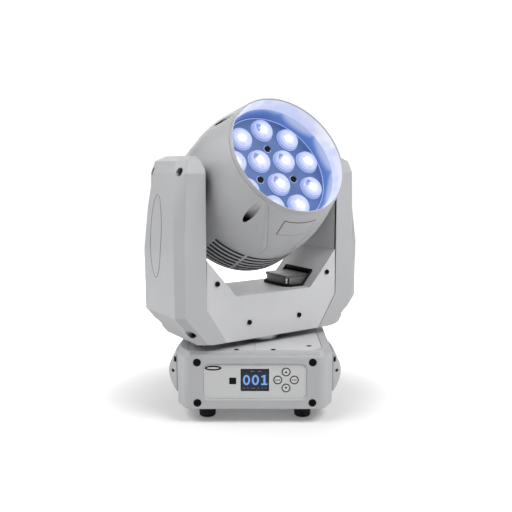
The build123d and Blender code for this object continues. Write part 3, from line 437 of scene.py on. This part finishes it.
def plate(outline, matrix, low, high):
    """Flat piece from a local XY outline between two heights."""
    count = len(outline)
    verts = [matrix @ (Vector((x, y, low)) * MM) for x, y in outline]
    verts += [matrix @ (Vector((x, y, high)) * MM) for x, y in outline]
    faces = [tuple(range(count, 2 * count)), tuple(reversed(range(count)))]
    for i in range(count):
        after = (i + 1) % count
        faces.append((i, after, count + after, count + i))
    return verts, faces


def ring_profile(inner, outer, low, high):
    """Closed profile of a flat ring with slightly rounded edges."""
    ease = min(outer - inner, high - low) * 0.3
    return [(inner, low), (outer, low), (outer, high - ease), (outer - ease, high), (inner + ease, high),
            (inner, high - ease)]


# ---------------------------------------------------------------- sunken panel and dust screen
PANEL_FOOT = 28.0             # half width of the sunken panel at its foot
PANEL_SPREAD = 35.0 / 107.0   # how much that grows for each unit of height
SLOPE_HEIGHTS = range(3, 94, 3)
SLOPE_RUN = 3.0               # width of a slope for each unit of its depth
LEAST_DEPTH = 0.12            # a shallower side has no slope
SCREEN = [(106.4, -11.0), (106.4, -45.0), (104.9, -60.0), (102.0, -70.5), (100.4, -74.5)]
SCREEN_THICK = 0.8


def shell_radius(skin, x, height):
    """Radius of the front shell's underside at a place, or None past its edge."""
    hit = skin.ray_cast(Vector((x, -160.0, height)), Vector((0, 1, 0)))[0]
    if hit is None or hit.y > 0:
        return None
    return sqrt(hit.x ** 2 + hit.y ** 2)


def slope_row(skin, side, height):
    """Section through one slope at a height, or None where the panel has no depth."""
    half = PANEL_FOOT + (height + 3.0) * PANEL_SPREAD
    outer = shell_radius(skin, side * (half + 0.8), height)
    floor = shell_radius(skin, side * (half - 7.0), height)
    if outer is None or floor is None or outer - floor < LEAST_DEPTH:
        return None
    run = SLOPE_RUN * (outer - floor) + 1.5
    section = [(half + 0.02, outer), (half - run, floor + 0.03), (half + 0.02, floor - 0.3)]
    return [Vector((side * x, -sqrt(max(0.0, r * r - x * x)), height)) for x, r in section]


def slope(skin, side):
    """One slope, lofted through its triangular sections."""
    rows = [row for row in (slope_row(skin, side, height) for height in SLOPE_HEIGHTS) if row]
    verts = [HEAD @ (point * MM) for row in rows for point in row]
    last = len(verts) - 3
    faces = [(0, 1, 2), (last + 2, last + 1, last)]
    for start in range(0, last, 3):
        for i in range(3):
            after = (i + 1) % 3
            faces.append((start + i, start + 3 + i, start + 3 + after, start + after))
    if side > 0:
        faces = [tuple(reversed(face)) for face in faces]
    return verts, faces


def make_panel_slopes(finish):
    """Slopes that ease the sides of the sunken panel under the head into its floor."""
    shell = frame["nodes"]["head_front_shell"].data
    inverse = HEAD.inverted()
    corners = [inverse @ v.co / MM for v in shell.vertices]
    skin = BVHTree.FromPolygons(corners, [tuple(p.vertices) for p in shell.polygons])
    verts, faces = joined([slope(skin, side) for side in (-1, 1)])
    add_piece("panel_slopes", verts, faces, finish, "head", smooth=False)


def make_dust_screen():
    """Dark felt band behind the cooling slots, held off the shell."""
    inner = [(radius - SCREEN_THICK, height) for radius, height in reversed(SCREEN)]
    felt = surface("screen_felt", (0.035, 0.035, 0.037), 0.85, 420.0, 0.35, 0.10, Specular_IOR_Level=0.1)
    verts, faces = lathe(SCREEN + inner, HEAD, steps=120, closed=True)
    add_piece("dust_screen", verts, faces, felt, "head")


# ---------------------------------------------------------------- lit lenses
INNER_RING, OUTER_RING, SCREW_RING = 25.5, 65.0, 34.0
LENS_RADIUS, LENS_RISE = 17.3, 8.0
SEAT_DROP = 3.6               # from the rim of a lens down to the face of its carrier
CORE_SHIFT = (0.15, 0.19)     # how far a lens's bright core lies off its middle, in lens radii
# lenses of each look, then the painted shade of a dark gap seen through them: angle, half width and tone
LENS_LOOKS = {
    "middle": ((0,), (157, 30, (0.15, 0.17, 0.27))),
    "inner": ((1, 2), (152, 30, (0.17, 0.20, 0.34))),
    "upper": ((3,), (176, 36, (0.06, 0.16, 0.62))),
    "lower": ((9,), (150, 32, (0.05, 0.13, 0.55))),
    "outer": ((4, 5, 6, 7, 8, 10, 11), None),
}


def ring_points(radius, count, start):
    """Points spaced evenly on a circle."""
    turns = [radians(start + 360 * i / count) for i in range(count)]
    return [(radius * cos(turn), radius * sin(turn)) for turn in turns]


def lens_centres():
    """Centres of the lenses in the head's frame, in millimetres."""
    return ring_points(INNER_RING, 3, 30) + ring_points(OUTER_RING, 9, 90)


def sector(tree, u, v, away, degrees, wide, narrow):
    """Mask of a sector that opens towards an angle, from its edge to its middle in degrees."""
    along = tree.math("ADD", tree.math("MULTIPLY", u, cos(radians(degrees))),
                      tree.math("MULTIPLY", v, sin(radians(degrees))))
    return tree.smooth(tree.math("DIVIDE", along, away), cos(radians(wide)), cos(radians(narrow)))


def band(tree, value, inner, outer, soft):
    """Mask of a ring between two radii."""
    rise = tree.smooth(value, inner - soft, inner + soft)
    fall = tree.smooth(value, outer - soft, outer + soft, 1.0, 0.0)
    return tree.math("MULTIPLY", rise, fall)


def lens_finish(name, gap_shade):
    """Clear lens filled with light: white core, paler edge, streaks and, in some, a dark patch of painted
    shade for a gap seen through it.
    """
    tree = Tree("lens_" + name)
    u, v, _ = tree.parts(tree.place("UV"))
    away = tree.length(u, v)
    reach = tree.length(tree.math("ADD", u, CORE_SHIFT[0]), tree.math("ADD", v, CORE_SHIFT[1]))
    wobble = tree.math("SUBTRACT", tree.noise(tree.place(), 190.0, 2.0), 0.5)
    reach = tree.math("ADD", reach, tree.math("MULTIPLY", wobble, 0.30))
    light = tree.mix(tree.smooth(reach, 0.12, 0.66, 1.0, 0.0), rgb((0.60, 0.64, 0.92)), rgb((1.0, 1.0, 1.0)))
    light = tree.mix(tree.smooth(reach, 0.62, 1.12), light, rgb((0.40, 0.46, 0.82)))
    streaks = tree.noise(tree.place("UV", (1.0, 3.2, 1.0)), 2.6, 3.0)
    streaks = tree.smooth(streaks, 0.50, 0.68, 0.0, 0.55)
    streaks = tree.math("MULTIPLY", streaks, tree.smooth(reach, 0.30, 0.60))
    light = tree.mix(streaks, light, rgb((0.30, 0.38, 0.78)))
    steps = tree.math("SINE", tree.math("MULTIPLY", reach, 46.0))
    light = tree.mix(tree.smooth(steps, 0.2, 1.0, 0.0, 0.10), light, rgb((0.45, 0.52, 0.86)))
    outline = tree.math("MULTIPLY", band(tree, away, 0.905, 0.955, 0.03), 0.8)
    light = tree.mix(outline, light, rgb((0.24, 0.32, 0.70)))
    # painted shade: a fixed dark patch where a gap would be seen through the lens
    if gap_shade:
        angle, width, tone = gap_shade
        shape = tree.math("MULTIPLY", sector(tree, u, v, away, angle, width, width * 0.72),
                          band(tree, away, 0.42, 0.76, 0.06))
        light = tree.mix(tree.math("MULTIPLY", shape, 0.85), light, rgb(tone))
    light = tree.mix(tree.smooth(away, 0.975, 0.99), light, rgb((0.26, 0.34, 0.66)))
    tree.set(tree.shader, Base_Color=rgb((0.10, 0.12, 0.16)), Roughness=0.08, IOR=1.49,
             Emission_Color=light, Emission_Strength=0.93)
    return tree


def local_uvs(verts, centre):
    """Place of every point across its lens, as a share of the lens radius."""
    inverse = HEAD.inverted()
    places = [inverse @ vert / MM for vert in verts]
    return [((place.x - centre[0]) / LENS_RADIUS, (place.y - centre[1]) / LENS_RADIUS) for place in places]


def lens_profile(rim):
    """Profile of one lens: a short wall and a dome."""
    profile = [(LENS_RADIUS - 0.1, rim - 3.5), (LENS_RADIUS, rim - 3.0), (LENS_RADIUS, rim - 0.5)]
    for i in range(12):
        turn = pi / 2 * (i + 0.2) / 12
        profile.append(((LENS_RADIUS - 0.25) * cos(turn), rim + LENS_RISE * sin(turn)))
    profile.append((0.05, rim + LENS_RISE))
    return profile


def make_lenses():
    """Twelve domed lenses; gives back the height of their rims."""
    rim = span("lenses", HEAD)[1].z / MM - LENS_RISE
    centres = lens_centres()
    for name, (lenses, gap_shade) in LENS_LOOKS.items():
        shapes, uvs = [], []
        for index in lenses:
            verts, faces = lathe(lens_profile(rim), HEAD, centres[index])
            shapes.append((verts, faces))
            uvs += local_uvs(verts, centres[index])
        verts, faces = joined(shapes)
        finish = lens_finish(name, gap_shade)
        piece = add_piece("lens_domes_" + name, verts, faces, finish, "carriage", uvs=uvs)
        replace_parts(piece, "lenses")
    return rim


def add_rings(name, finish, centres, radii, heights, steps):
    """Flat rings round several centres on the lens carrier, as one piece."""
    profile = ring_profile(*radii, *heights)
    verts, faces = joined([lathe(profile, HEAD, centre, steps, closed=True) for centre in centres])
    add_piece(name, verts, faces, finish, "carriage")


def make_seats(rim):
    """Raised ring round every lens, the rim of the carrier and a collar at each screw, all with painted glow,
    and at each screw a dark ring of painted shade for its recess.
    """
    base = rim - SEAT_DROP
    screws = ring_points(SCREW_RING, 3, 90)
    # painted light: the seats, the carrier's rim and the screw collars glow with the light of the lenses
    seat = surface("seat_lit", (0.15, 0.18, 0.28), 0.22, 900.0, 0.05, 0.08)
    glow(seat, (0.34, 0.42, 0.74), 0.8)
    lip = surface("plate_lip", (0.30, 0.34, 0.45), 0.22, 1200.0, 0.03, 0.04)
    glow(lip, (0.40, 0.50, 0.88), 0.75)
    shade = surface("recess_shade", (0.01, 0.012, 0.025), 0.6, 1500.0, 0.05, Specular_IOR_Level=0.1)
    glow(shade, (0.04, 0.07, 0.22), 0.6)
    add_rings("lens_seats", seat, lens_centres(), (LENS_RADIUS + 0.1, LENS_RADIUS + 0.9),
              (base, base + 0.9), 48)
    add_rings("plate_lip", lip, [(0, 0)], (86.5, 87.3), (base, base + 0.9), 160)
    add_rings("screw_collars", lip, screws, (5.4, 6.0), (base - 0.1, base + 0.6), 32)
    # painted shade: a dark ring at each screw stands for the shade in its recess
    add_rings("screw_recess_shade", shade, screws, (4.62, 5.35), (base - 0.05, base + 0.7), 32)


# ---------------------------------------------------------------- display
HEADER_BARS = [(-6.5, -1.0), (4.5, 9.5)]
FOOTER_BARS = [(-17.5, -14.0), (-11.5, -8.5), (-5.5, 0.5), (3.5, 6.0), (9.5, 12.0), (14.5, 16.5)]
HEADER_Z, FOOTER_Z = 12.3, -12.6
ZERO_PLACES, ONE_PLACE = (-12.0, 0.8), 13.4
ZERO_OUTER, ZERO_INNER = (5.1, 7.6), (2.5, 4.9)
ONE = [(-4.4, -7.5), (4.6, -7.5), (4.6, -5.2), (1.8, -5.2), (1.8, 7.5), (-0.4, 7.5), (-4.4, 5.3),
       (-3.4, 3.4), (-1.1, 4.6), (-1.1, -5.2), (-4.4, -5.2)]


def make_display_materials():
    """Dark window of the display and the module behind it."""
    window = surface("window_dark", (0.004, 0.006, 0.012), 0.20, 1200.0, 0.01, 0.10, Specular_IOR_Level=0.3)
    low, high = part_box("display_window")
    x, _, z = window.parts(window.place())
    across = window.math("DIVIDE", window.math("SUBTRACT", x, (low.x + high.x) / 2), (high.x - low.x) / 2)
    up = window.math("DIVIDE", window.math("SUBTRACT", z, (low.z + high.z) / 2), (high.z - low.z) / 2)
    edge = window.math("MAXIMUM", window.math("ABSOLUTE", across), window.math("ABSOLUTE", up))
    field = window.smooth(edge, 0.88, 0.93, 1.0, 0.0)
    middle = window.smooth(window.math("ABSOLUTE", up), 0.25, 0.85, 1.0, 0.0)
    tone = window.mix(middle, rgb((0.016, 0.017, 0.028)), rgb((0.026, 0.046, 0.100)))
    window.set(window.shader, Emission_Color=window.mix(field, rgb((0.004, 0.004, 0.005)), tone),
               Emission_Strength=0.35)
    paint(window, "display_window")
    paint(surface("module_black", (0.02, 0.02, 0.022), 0.4, 1200.0, 0.05), "display_module")


def glowing_ink(name, colour):
    """Glowing finish of the marks on the display."""
    tree = Tree(name)
    grain = tree.noise(tree.place(), 1600.0, 1.0)
    shade = tree.mix(tree.smooth(grain, 0.3, 0.7), rgb(colour, 0.85), rgb(colour, 1.05))
    tree.set(tree.shader, Base_Color=rgb((0.02, 0.03, 0.06)), Roughness=0.3, Emission_Color=shade,
             Emission_Strength=1.0)
    return tree


def oval_ring(centre, outer, inner, height, steps=48):
    """Flat oval ring seen from the front."""
    verts, faces = [], []
    for half_x, half_z in (outer, inner):
        for step in range(steps):
            turn = 2 * pi * step / steps
            place = Vector((centre[0] + half_x * cos(turn), centre[1] + half_z * sin(turn), height))
            verts.append(FACE @ (place * MM))
    for step in range(steps):
        after = (step + 1) % steps
        faces.append((step, after, steps + after, steps + step))
    return verts, faces


def bars(spans, x, z, tall, front):
    """Row of flat bars seen from the front."""
    shapes = []
    for start, end in spans:
        outline = [(x + start, z), (x + end, z), (x + end, z + tall), (x + start, z + tall)]
        shapes.append(plate(outline, FACE, front + 0.01, front + 0.04))
    return joined(shapes)


def add_mark(name, shape, ink_name, colour):
    """Glowing mark on the display window."""
    verts, faces = shape
    add_piece(name, verts, faces, glowing_ink(ink_name, colour), "base", smooth=False)


def make_display():
    """Number, header and footer marks of the display."""
    low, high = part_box("display_window")
    x, z = (low.x + high.x) / 2 / MM, (low.z + high.z) / 2 / MM
    front = -low.y / MM
    shapes = [oval_ring((x + shift, z), ZERO_OUTER, ZERO_INNER, front + 0.05) for shift in ZERO_PLACES]
    one = [(x + ONE_PLACE + px, z + pz) for px, pz in ONE]
    shapes.append(plate(one, FACE, front + 0.02, front + 0.05))
    add_mark("display_number", joined(shapes), "number_blue", (0.17, 0.38, 0.78))
    header = bars(HEADER_BARS, x, z + HEADER_Z, 1.1, front)
    add_mark("display_header", header, "header_violet", (0.10, 0.10, 0.30))
    footer = bars(FOOTER_BARS, x, z + FOOTER_Z, 1.0, front)
    add_mark("display_footer", footer, "footer_grey", (0.12, 0.11, 0.12))


# ---------------------------------------------------------------- keys and prints
KEYS = ("up", "down", "menu", "enter")
KEY_FLANGE, KEY_RADIUS = 6.8, 5.8
BADGE_PLACE, SQUARE_PLACE = (-60.0, 82.9), (-31.9, 63.9)


def ink_finish():
    """Matt black ink of the printed marks."""
    return surface("print_ink", (0.005, 0.005, 0.006), 0.6, 1500.0, 0.02, 0.05, Specular_IOR_Level=0.12)


def key_centre(key):
    """Middle of a key seen from the front."""
    low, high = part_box("button_" + key)
    return (low.x + high.x) / 2 / MM, (low.z + high.z) / 2 / MM


def key_mark(key, x, z):
    """Outlines of the mark on one key: an arrow, or three short bars."""
    if key == "up":
        return [[(x - 2.1, z - 1.7), (x + 2.1, z - 1.7), (x, z + 1.9)]]
    if key == "down":
        return [[(x - 2.1, z + 1.7), (x, z - 1.9), (x + 2.1, z + 1.7)]]
    return [[(x - 3.4 + i * 2.4, z - 0.7), (x - 1.5 + i * 2.4, z - 0.7), (x - 1.5 + i * 2.4, z + 0.7),
             (x - 3.4 + i * 2.4, z + 0.7)] for i in range(3)]


def key_profile(front, back):
    """Profile of one key: stem, flange behind the panel and a slightly domed cap."""
    return [(0.05, back), (1.5, back), (1.5, front - 3.0), (KEY_FLANGE, front - 3.0),
            (KEY_FLANGE, front - 2.15), (KEY_RADIUS, front - 2.15), (KEY_RADIUS, front - 0.45),
            (KEY_RADIUS - 0.35, front - 0.2), (4.0, front - 0.07), (2.0, front - 0.02), (0.05, front)]


def make_keys(ink):
    """Slightly domed key caps with a dark ring and a small mark."""
    cap = surface("key_satin", (0.60, 0.605, 0.61), 0.33, 1500.0, 0.03, 0.02)
    for key in KEYS:
        node, body = "button_" + key, "key_" + key
        low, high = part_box(node)
        x, z = key_centre(key)
        front, back = -low.y / MM, -high.y / MM
        matrix = Matrix.Translation((x * MM, 0, z * MM)) @ FACE
        verts, faces = lathe(key_profile(front, back), matrix)
        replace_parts(add_piece("cap_" + key, verts, faces, cap, body), node)
        ring = ring_profile(KEY_RADIUS - 0.9, KEY_RADIUS - 0.02, front - 0.5, front - 0.01)
        verts, faces = lathe(ring, matrix, closed=True)
        add_piece("cap_ring_" + key, verts, faces, ink, body)
        verts, faces = joined([plate(outline, FACE, front - 0.1, front) for outline in key_mark(key, x, z)])
        add_piece("cap_mark_" + key, verts, faces, ink, body, smooth=False)


def rounded(centre, half_x, half_z, corner, steps=6):
    """Outline of a rounded rectangle."""
    points = []
    for sx, sz, start in ((1, 1, 0), (-1, 1, 90), (-1, -1, 180), (1, -1, 270)):
        for i in range(steps + 1):
            turn = radians(start + 90 * i / steps)
            points.append((centre[0] + sx * (half_x - corner) + corner * cos(turn),
                           centre[1] + sz * (half_z - corner) + corner * sin(turn)))
    return points


def make_prints(ink):
    """Blank oval, blank square and thin rings round the keys, on the control panel."""
    front = -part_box("control_fascia")[0].y / MM
    shapes = [oval_ring(BADGE_PLACE, (12.2, 3.7), (8.8, 1.5), front + 0.05)]
    shapes += [oval_ring(key_centre(key), (6.5, 6.5), (6.12, 6.12), front + 0.05)
               for key in KEYS]
    verts, faces = joined(shapes)
    add_piece("panel_rings", verts, faces, ink, "base", smooth=False)
    verts, faces = plate(rounded(SQUARE_PLACE, 5.0, 4.9, 1.2), FACE, front + 0.01, front + 0.06)
    add_piece("panel_square", verts, faces, ink, "base", smooth=False)


# ---------------------------------------------------------------- rubber edging and motor bolts
CUT_OUT = [(36, -26), (45, -34.4), (84.7, -34.4), (84.7, 34.4), (45, 34.4), (36, 26)]
SADDLE_Z, INCLINE_X, INCLINE = 183.1, 67.1, 1.151
LIP_SECTION = [(-1.1, -1.6), (-0.15, -1.6), (-0.15, 0.1), (0.8, 0.1), (0.8, 3.5), (0.3, 4.2), (-0.6, 4.2),
               (-1.1, 3.5)]
ARM_SHADE_SEAL_X, ARM_SHADE_SEAL_Y, ARM_SHADE_SEAL_Z = (116.1, 117.1), (50.5, 53.3), (169.5, 358.0)
TOP_OUTLINE = [(97.5, -80), (97.5, 80), (84, 95.5), (-84, 95.5), (-97.5, 80), (-97.5, -80), (-84, -95.5),
               (84, -95.5)]
TOP_SEAL_Z = 107.2
TOP_SEAL_SECTION = [(0.04, -1.7), (0.56, -1.7), (0.56, -0.35), (0.04, -0.35)]
MOTOR_X, BOLT_REACH = 67.5, 25.6
BOLT_PROFILE = [(0.05, 160.4), (3.0, 160.4), (3.0, 163.4), (1.9, 163.4), (1.9, 195.5), (0.05, 195.5)]


def densified(outline, step):
    """Closed outline with extra points along its sides."""
    points = []
    for (x0, y0), (x1, y1) in zip(outline, outline[1:] + outline[:1]):
        count = max(1, round(sqrt((x1 - x0) ** 2 + (y1 - y0) ** 2) / step))
        points += [(x0 + (x1 - x0) * i / count, y0 + (y1 - y0) * i / count) for i in range(count)]
    return points


def offset(outline, reach):
    """Closed counter-clockwise outline moved outwards."""
    moved = []
    for i, (x, y) in enumerate(outline):
        before, after = outline[i - 1], outline[(i + 1) % len(outline)]
        one = Vector((y - before[1], before[0] - x)).normalized()
        two = Vector((after[1] - y, x - after[0])).normalized()
        corner = (one + two).normalized()
        stretch = reach / max(0.5, corner.dot(one))
        moved.append((x + corner.x * stretch, y + corner.y * stretch))
    return moved


def saddle_height(x):
    """Height of the yoke saddle's upper face."""
    return SADDLE_Z + max(0.0, x - INCLINE_X) * INCLINE


def strip(outline, matrix, section, height):
    """Edging along a closed outline; section lists (outward, up) and height gives the path's own height."""
    rows = [(offset(outline, outward), up) for outward, up in section]
    count, verts, faces = len(outline), [], []
    for points, up in rows:
        verts += [matrix @ (Vector((x, y, height(x) + up)) * MM) for x, y in points]
    for row in range(len(rows)):
        upper = (row + 1) % len(rows)
        for i in range(count):
            after = (i + 1) % count
            faces.append((row * count + i, row * count + after, upper * count + after, upper * count + i))
    return verts, faces


def arm_shade_seal(side_x, side_y):
    """Upright dark rubber seal between an arm cover and one face of the yoke; it also stands for the shadow
    in that gap.
    """
    (x0, x1), (y0, y1) = ARM_SHADE_SEAL_X, ARM_SHADE_SEAL_Y
    outline = [(side_x * x, side_y * y) for x, y in ((x0, y0), (x1, y0), (x1, y1), (x0, y1))]
    if side_x * side_y < 0:
        outline.reverse()
    return plate(outline, YOKE, *ARM_SHADE_SEAL_Z)


def make_edging():
    """Rubber lip round the motor opening, dark seals beside the arms that also stand for the shadow in those
    gaps, and the seal of the base top.
    """
    rubber = surface("edge_rubber", (0.010, 0.010, 0.011), 0.62, 1500.0, 0.15, Specular_IOR_Level=0.2)
    verts, faces = strip(densified(CUT_OUT, 4.0), YOKE, LIP_SECTION, saddle_height)
    add_piece("motor_opening_lip", verts, faces, rubber, "yoke")
    # painted shade: the dark seals set into the gaps beside the arms stand for the shadow there
    verts, faces = joined([arm_shade_seal(side_x, side_y) for side_x in (-1, 1) for side_y in (-1, 1)])
    add_piece("arm_shade_seals", verts, faces, rubber, "yoke", smooth=False)
    verts, faces = strip(TOP_OUTLINE, Matrix(), TOP_SEAL_SECTION, lambda x: TOP_SEAL_Z)
    add_piece("top_plate_seal", verts, faces, rubber, "base", smooth=False)


def make_motor_bolts():
    """Long bolts in the corner flutes of the pan motor."""
    zinc = surface("bolt_zinc", (0.62, 0.62, 0.63), 0.26, 1900.0, 0.05, 0.05, DRAWN, Metallic=0.9)
    verts, faces = joined([lathe(BOLT_PROFILE, YOKE, (MOTOR_X + side_x * BOLT_REACH, side_y * BOLT_REACH), 24)
                           for side_x in (-1, 1) for side_y in (-1, 1)])
    add_piece("pan_motor_bolts", verts, faces, zinc, "yoke", smooth=False)


# ---------------------------------------------------------------- stage, light, camera
FLOOR_RADIUS, FLOOR_Z, FLOOR_STEPS = 1.7, -0.0003, 96
MIDDLE = (0, 0, 0.25)         # the point that every lamp aims at
LAMPS = {                     # place, size and power
    "left": ((-1.6, -0.15, 0.55), (1.2, 1.2), 5.9),
    "left_top": ((-1.0, -0.7, 1.6), (1.0, 1.0), 17.6),
    "left_high": ((-1.4, 0.3, 1.2), (1.0, 1.0), 4.7),
    "right": ((1.6, -0.15, 0.55), (1.2, 1.2), 3.6),
    "right_top": ((1.0, -0.7, 1.6), (1.0, 1.0), 28.6),
    "back": ((0.0, 1.8, 0.9), (2.0, 1.4), 12.4),
}
CAMERA_PLACE, CAMERA_TILT = (0.00162, -1.04995, 0.37509), 82.2
CAMERA_LENS, CAMERA_SENSOR = 48.0, 36.0


def floor_finish():
    """Pale floor that fades into the white surroundings, and gives the object less light than it shows."""
    tree = Tree("floor_white")
    x, y, _ = tree.parts(tree.place())
    away = tree.length(x, y)
    seen = tree.smooth(away, 0.13, 0.42, 0.12, 1.0)
    spill = tree.smooth(away, 0.2, 0.9, 0.09, 0.5)
    direct = tree.add("LightPath").outputs["Is Camera Ray"]
    strength = tree.math("ADD", tree.math("MULTIPLY", direct, seen),
                         tree.math("MULTIPLY", tree.math("SUBTRACT", 1.0, direct), spill))
    cloud = tree.noise(tree.place(), 3.0, 2.0)
    colour = tree.mix(cloud, rgb((0.71, 0.71, 0.71)), rgb((0.74, 0.74, 0.74)))
    tree.set(tree.shader, Base_Color=colour, Roughness=0.9, Emission_Color=rgb((1, 1, 1)),
             Emission_Strength=strength)
    return tree


def make_stage():
    """Plain pale round floor."""
    turns = [2 * pi * i / FLOOR_STEPS for i in range(FLOOR_STEPS)]
    edge = [(FLOOR_RADIUS * cos(turn), FLOOR_RADIUS * sin(turn), FLOOR_Z) for turn in turns]
    mesh = bpy.data.meshes.new("floor")
    mesh.from_pydata(edge, [], [tuple(range(FLOOR_STEPS))])
    mesh.materials.append(floor_finish().material)
    floor = bpy.data.objects.new("floor", mesh)
    bpy.context.scene.collection.objects.link(floor)


def background(nodes, colour, strength):
    """Even background of one colour."""
    node = nodes.new("ShaderNodeBackground")
    node.inputs[0].default_value = colour
    node.inputs[1].default_value = strength
    return node


def make_surroundings():
    """White surroundings that give the object only a faint light."""
    world = bpy.data.worlds.new("surroundings")
    bpy.context.scene.world = world
    world.use_nodes = True
    nodes, links = world.node_tree.nodes, world.node_tree.links
    nodes.clear()
    out = nodes.new("ShaderNodeOutputWorld")
    seen = background(nodes, (1, 1, 1, 1), 1.05)
    ambient = background(nodes, (0.97, 0.98, 1.0, 1.0), 0.04)
    path = nodes.new("ShaderNodeLightPath")
    mix = nodes.new("ShaderNodeMixShader")
    links.new(path.outputs["Is Camera Ray"], mix.inputs[0])
    links.new(ambient.outputs[0], mix.inputs[1])
    links.new(seen.outputs[0], mix.inputs[2])
    links.new(mix.outputs[0], out.inputs[0])


def make_lamps():
    """Six soft boxes aimed at the middle of the light."""
    for name, (place, size, power) in LAMPS.items():
        data = bpy.data.lights.new(name, "AREA")
        data.shape = "RECTANGLE"
        data.size, data.size_y = size
        data.energy = power
        lamp = bpy.data.objects.new(name, data)
        lamp.location = place
        direction = Vector(MIDDLE) - Vector(place)
        lamp.rotation_euler = direction.to_track_quat("-Z", "Y").to_euler()
        lamp.visible_camera = False
        bpy.context.scene.collection.objects.link(lamp)


def make_camera():
    """Camera in front of the light, above its middle and tilted down a little."""
    data = bpy.data.cameras.new("camera")
    data.sensor_width = CAMERA_SENSOR
    data.lens = CAMERA_LENS
    data.clip_start = 0.01
    camera = bpy.data.objects.new("camera", data)
    camera.location = CAMERA_PLACE
    camera.rotation_euler = (radians(CAMERA_TILT), 0, 0)
    bpy.context.scene.collection.objects.link(camera)
    bpy.context.scene.camera = camera


bpy.context.scene.view_settings.view_transform = "Standard"
body_paint = make_body_materials()
make_panel_slopes(body_paint)
make_metal_materials()
make_plastic_materials()
make_motor_materials()
make_light_materials()
make_display_materials()
make_dust_screen()
lens_rim = make_lenses()
make_seats(lens_rim)
make_display()
print_ink = ink_finish()
make_keys(print_ink)
make_prints(print_ink)
make_edging()
make_motor_bolts()
make_stage()
make_surroundings()
make_lamps()
make_camera()
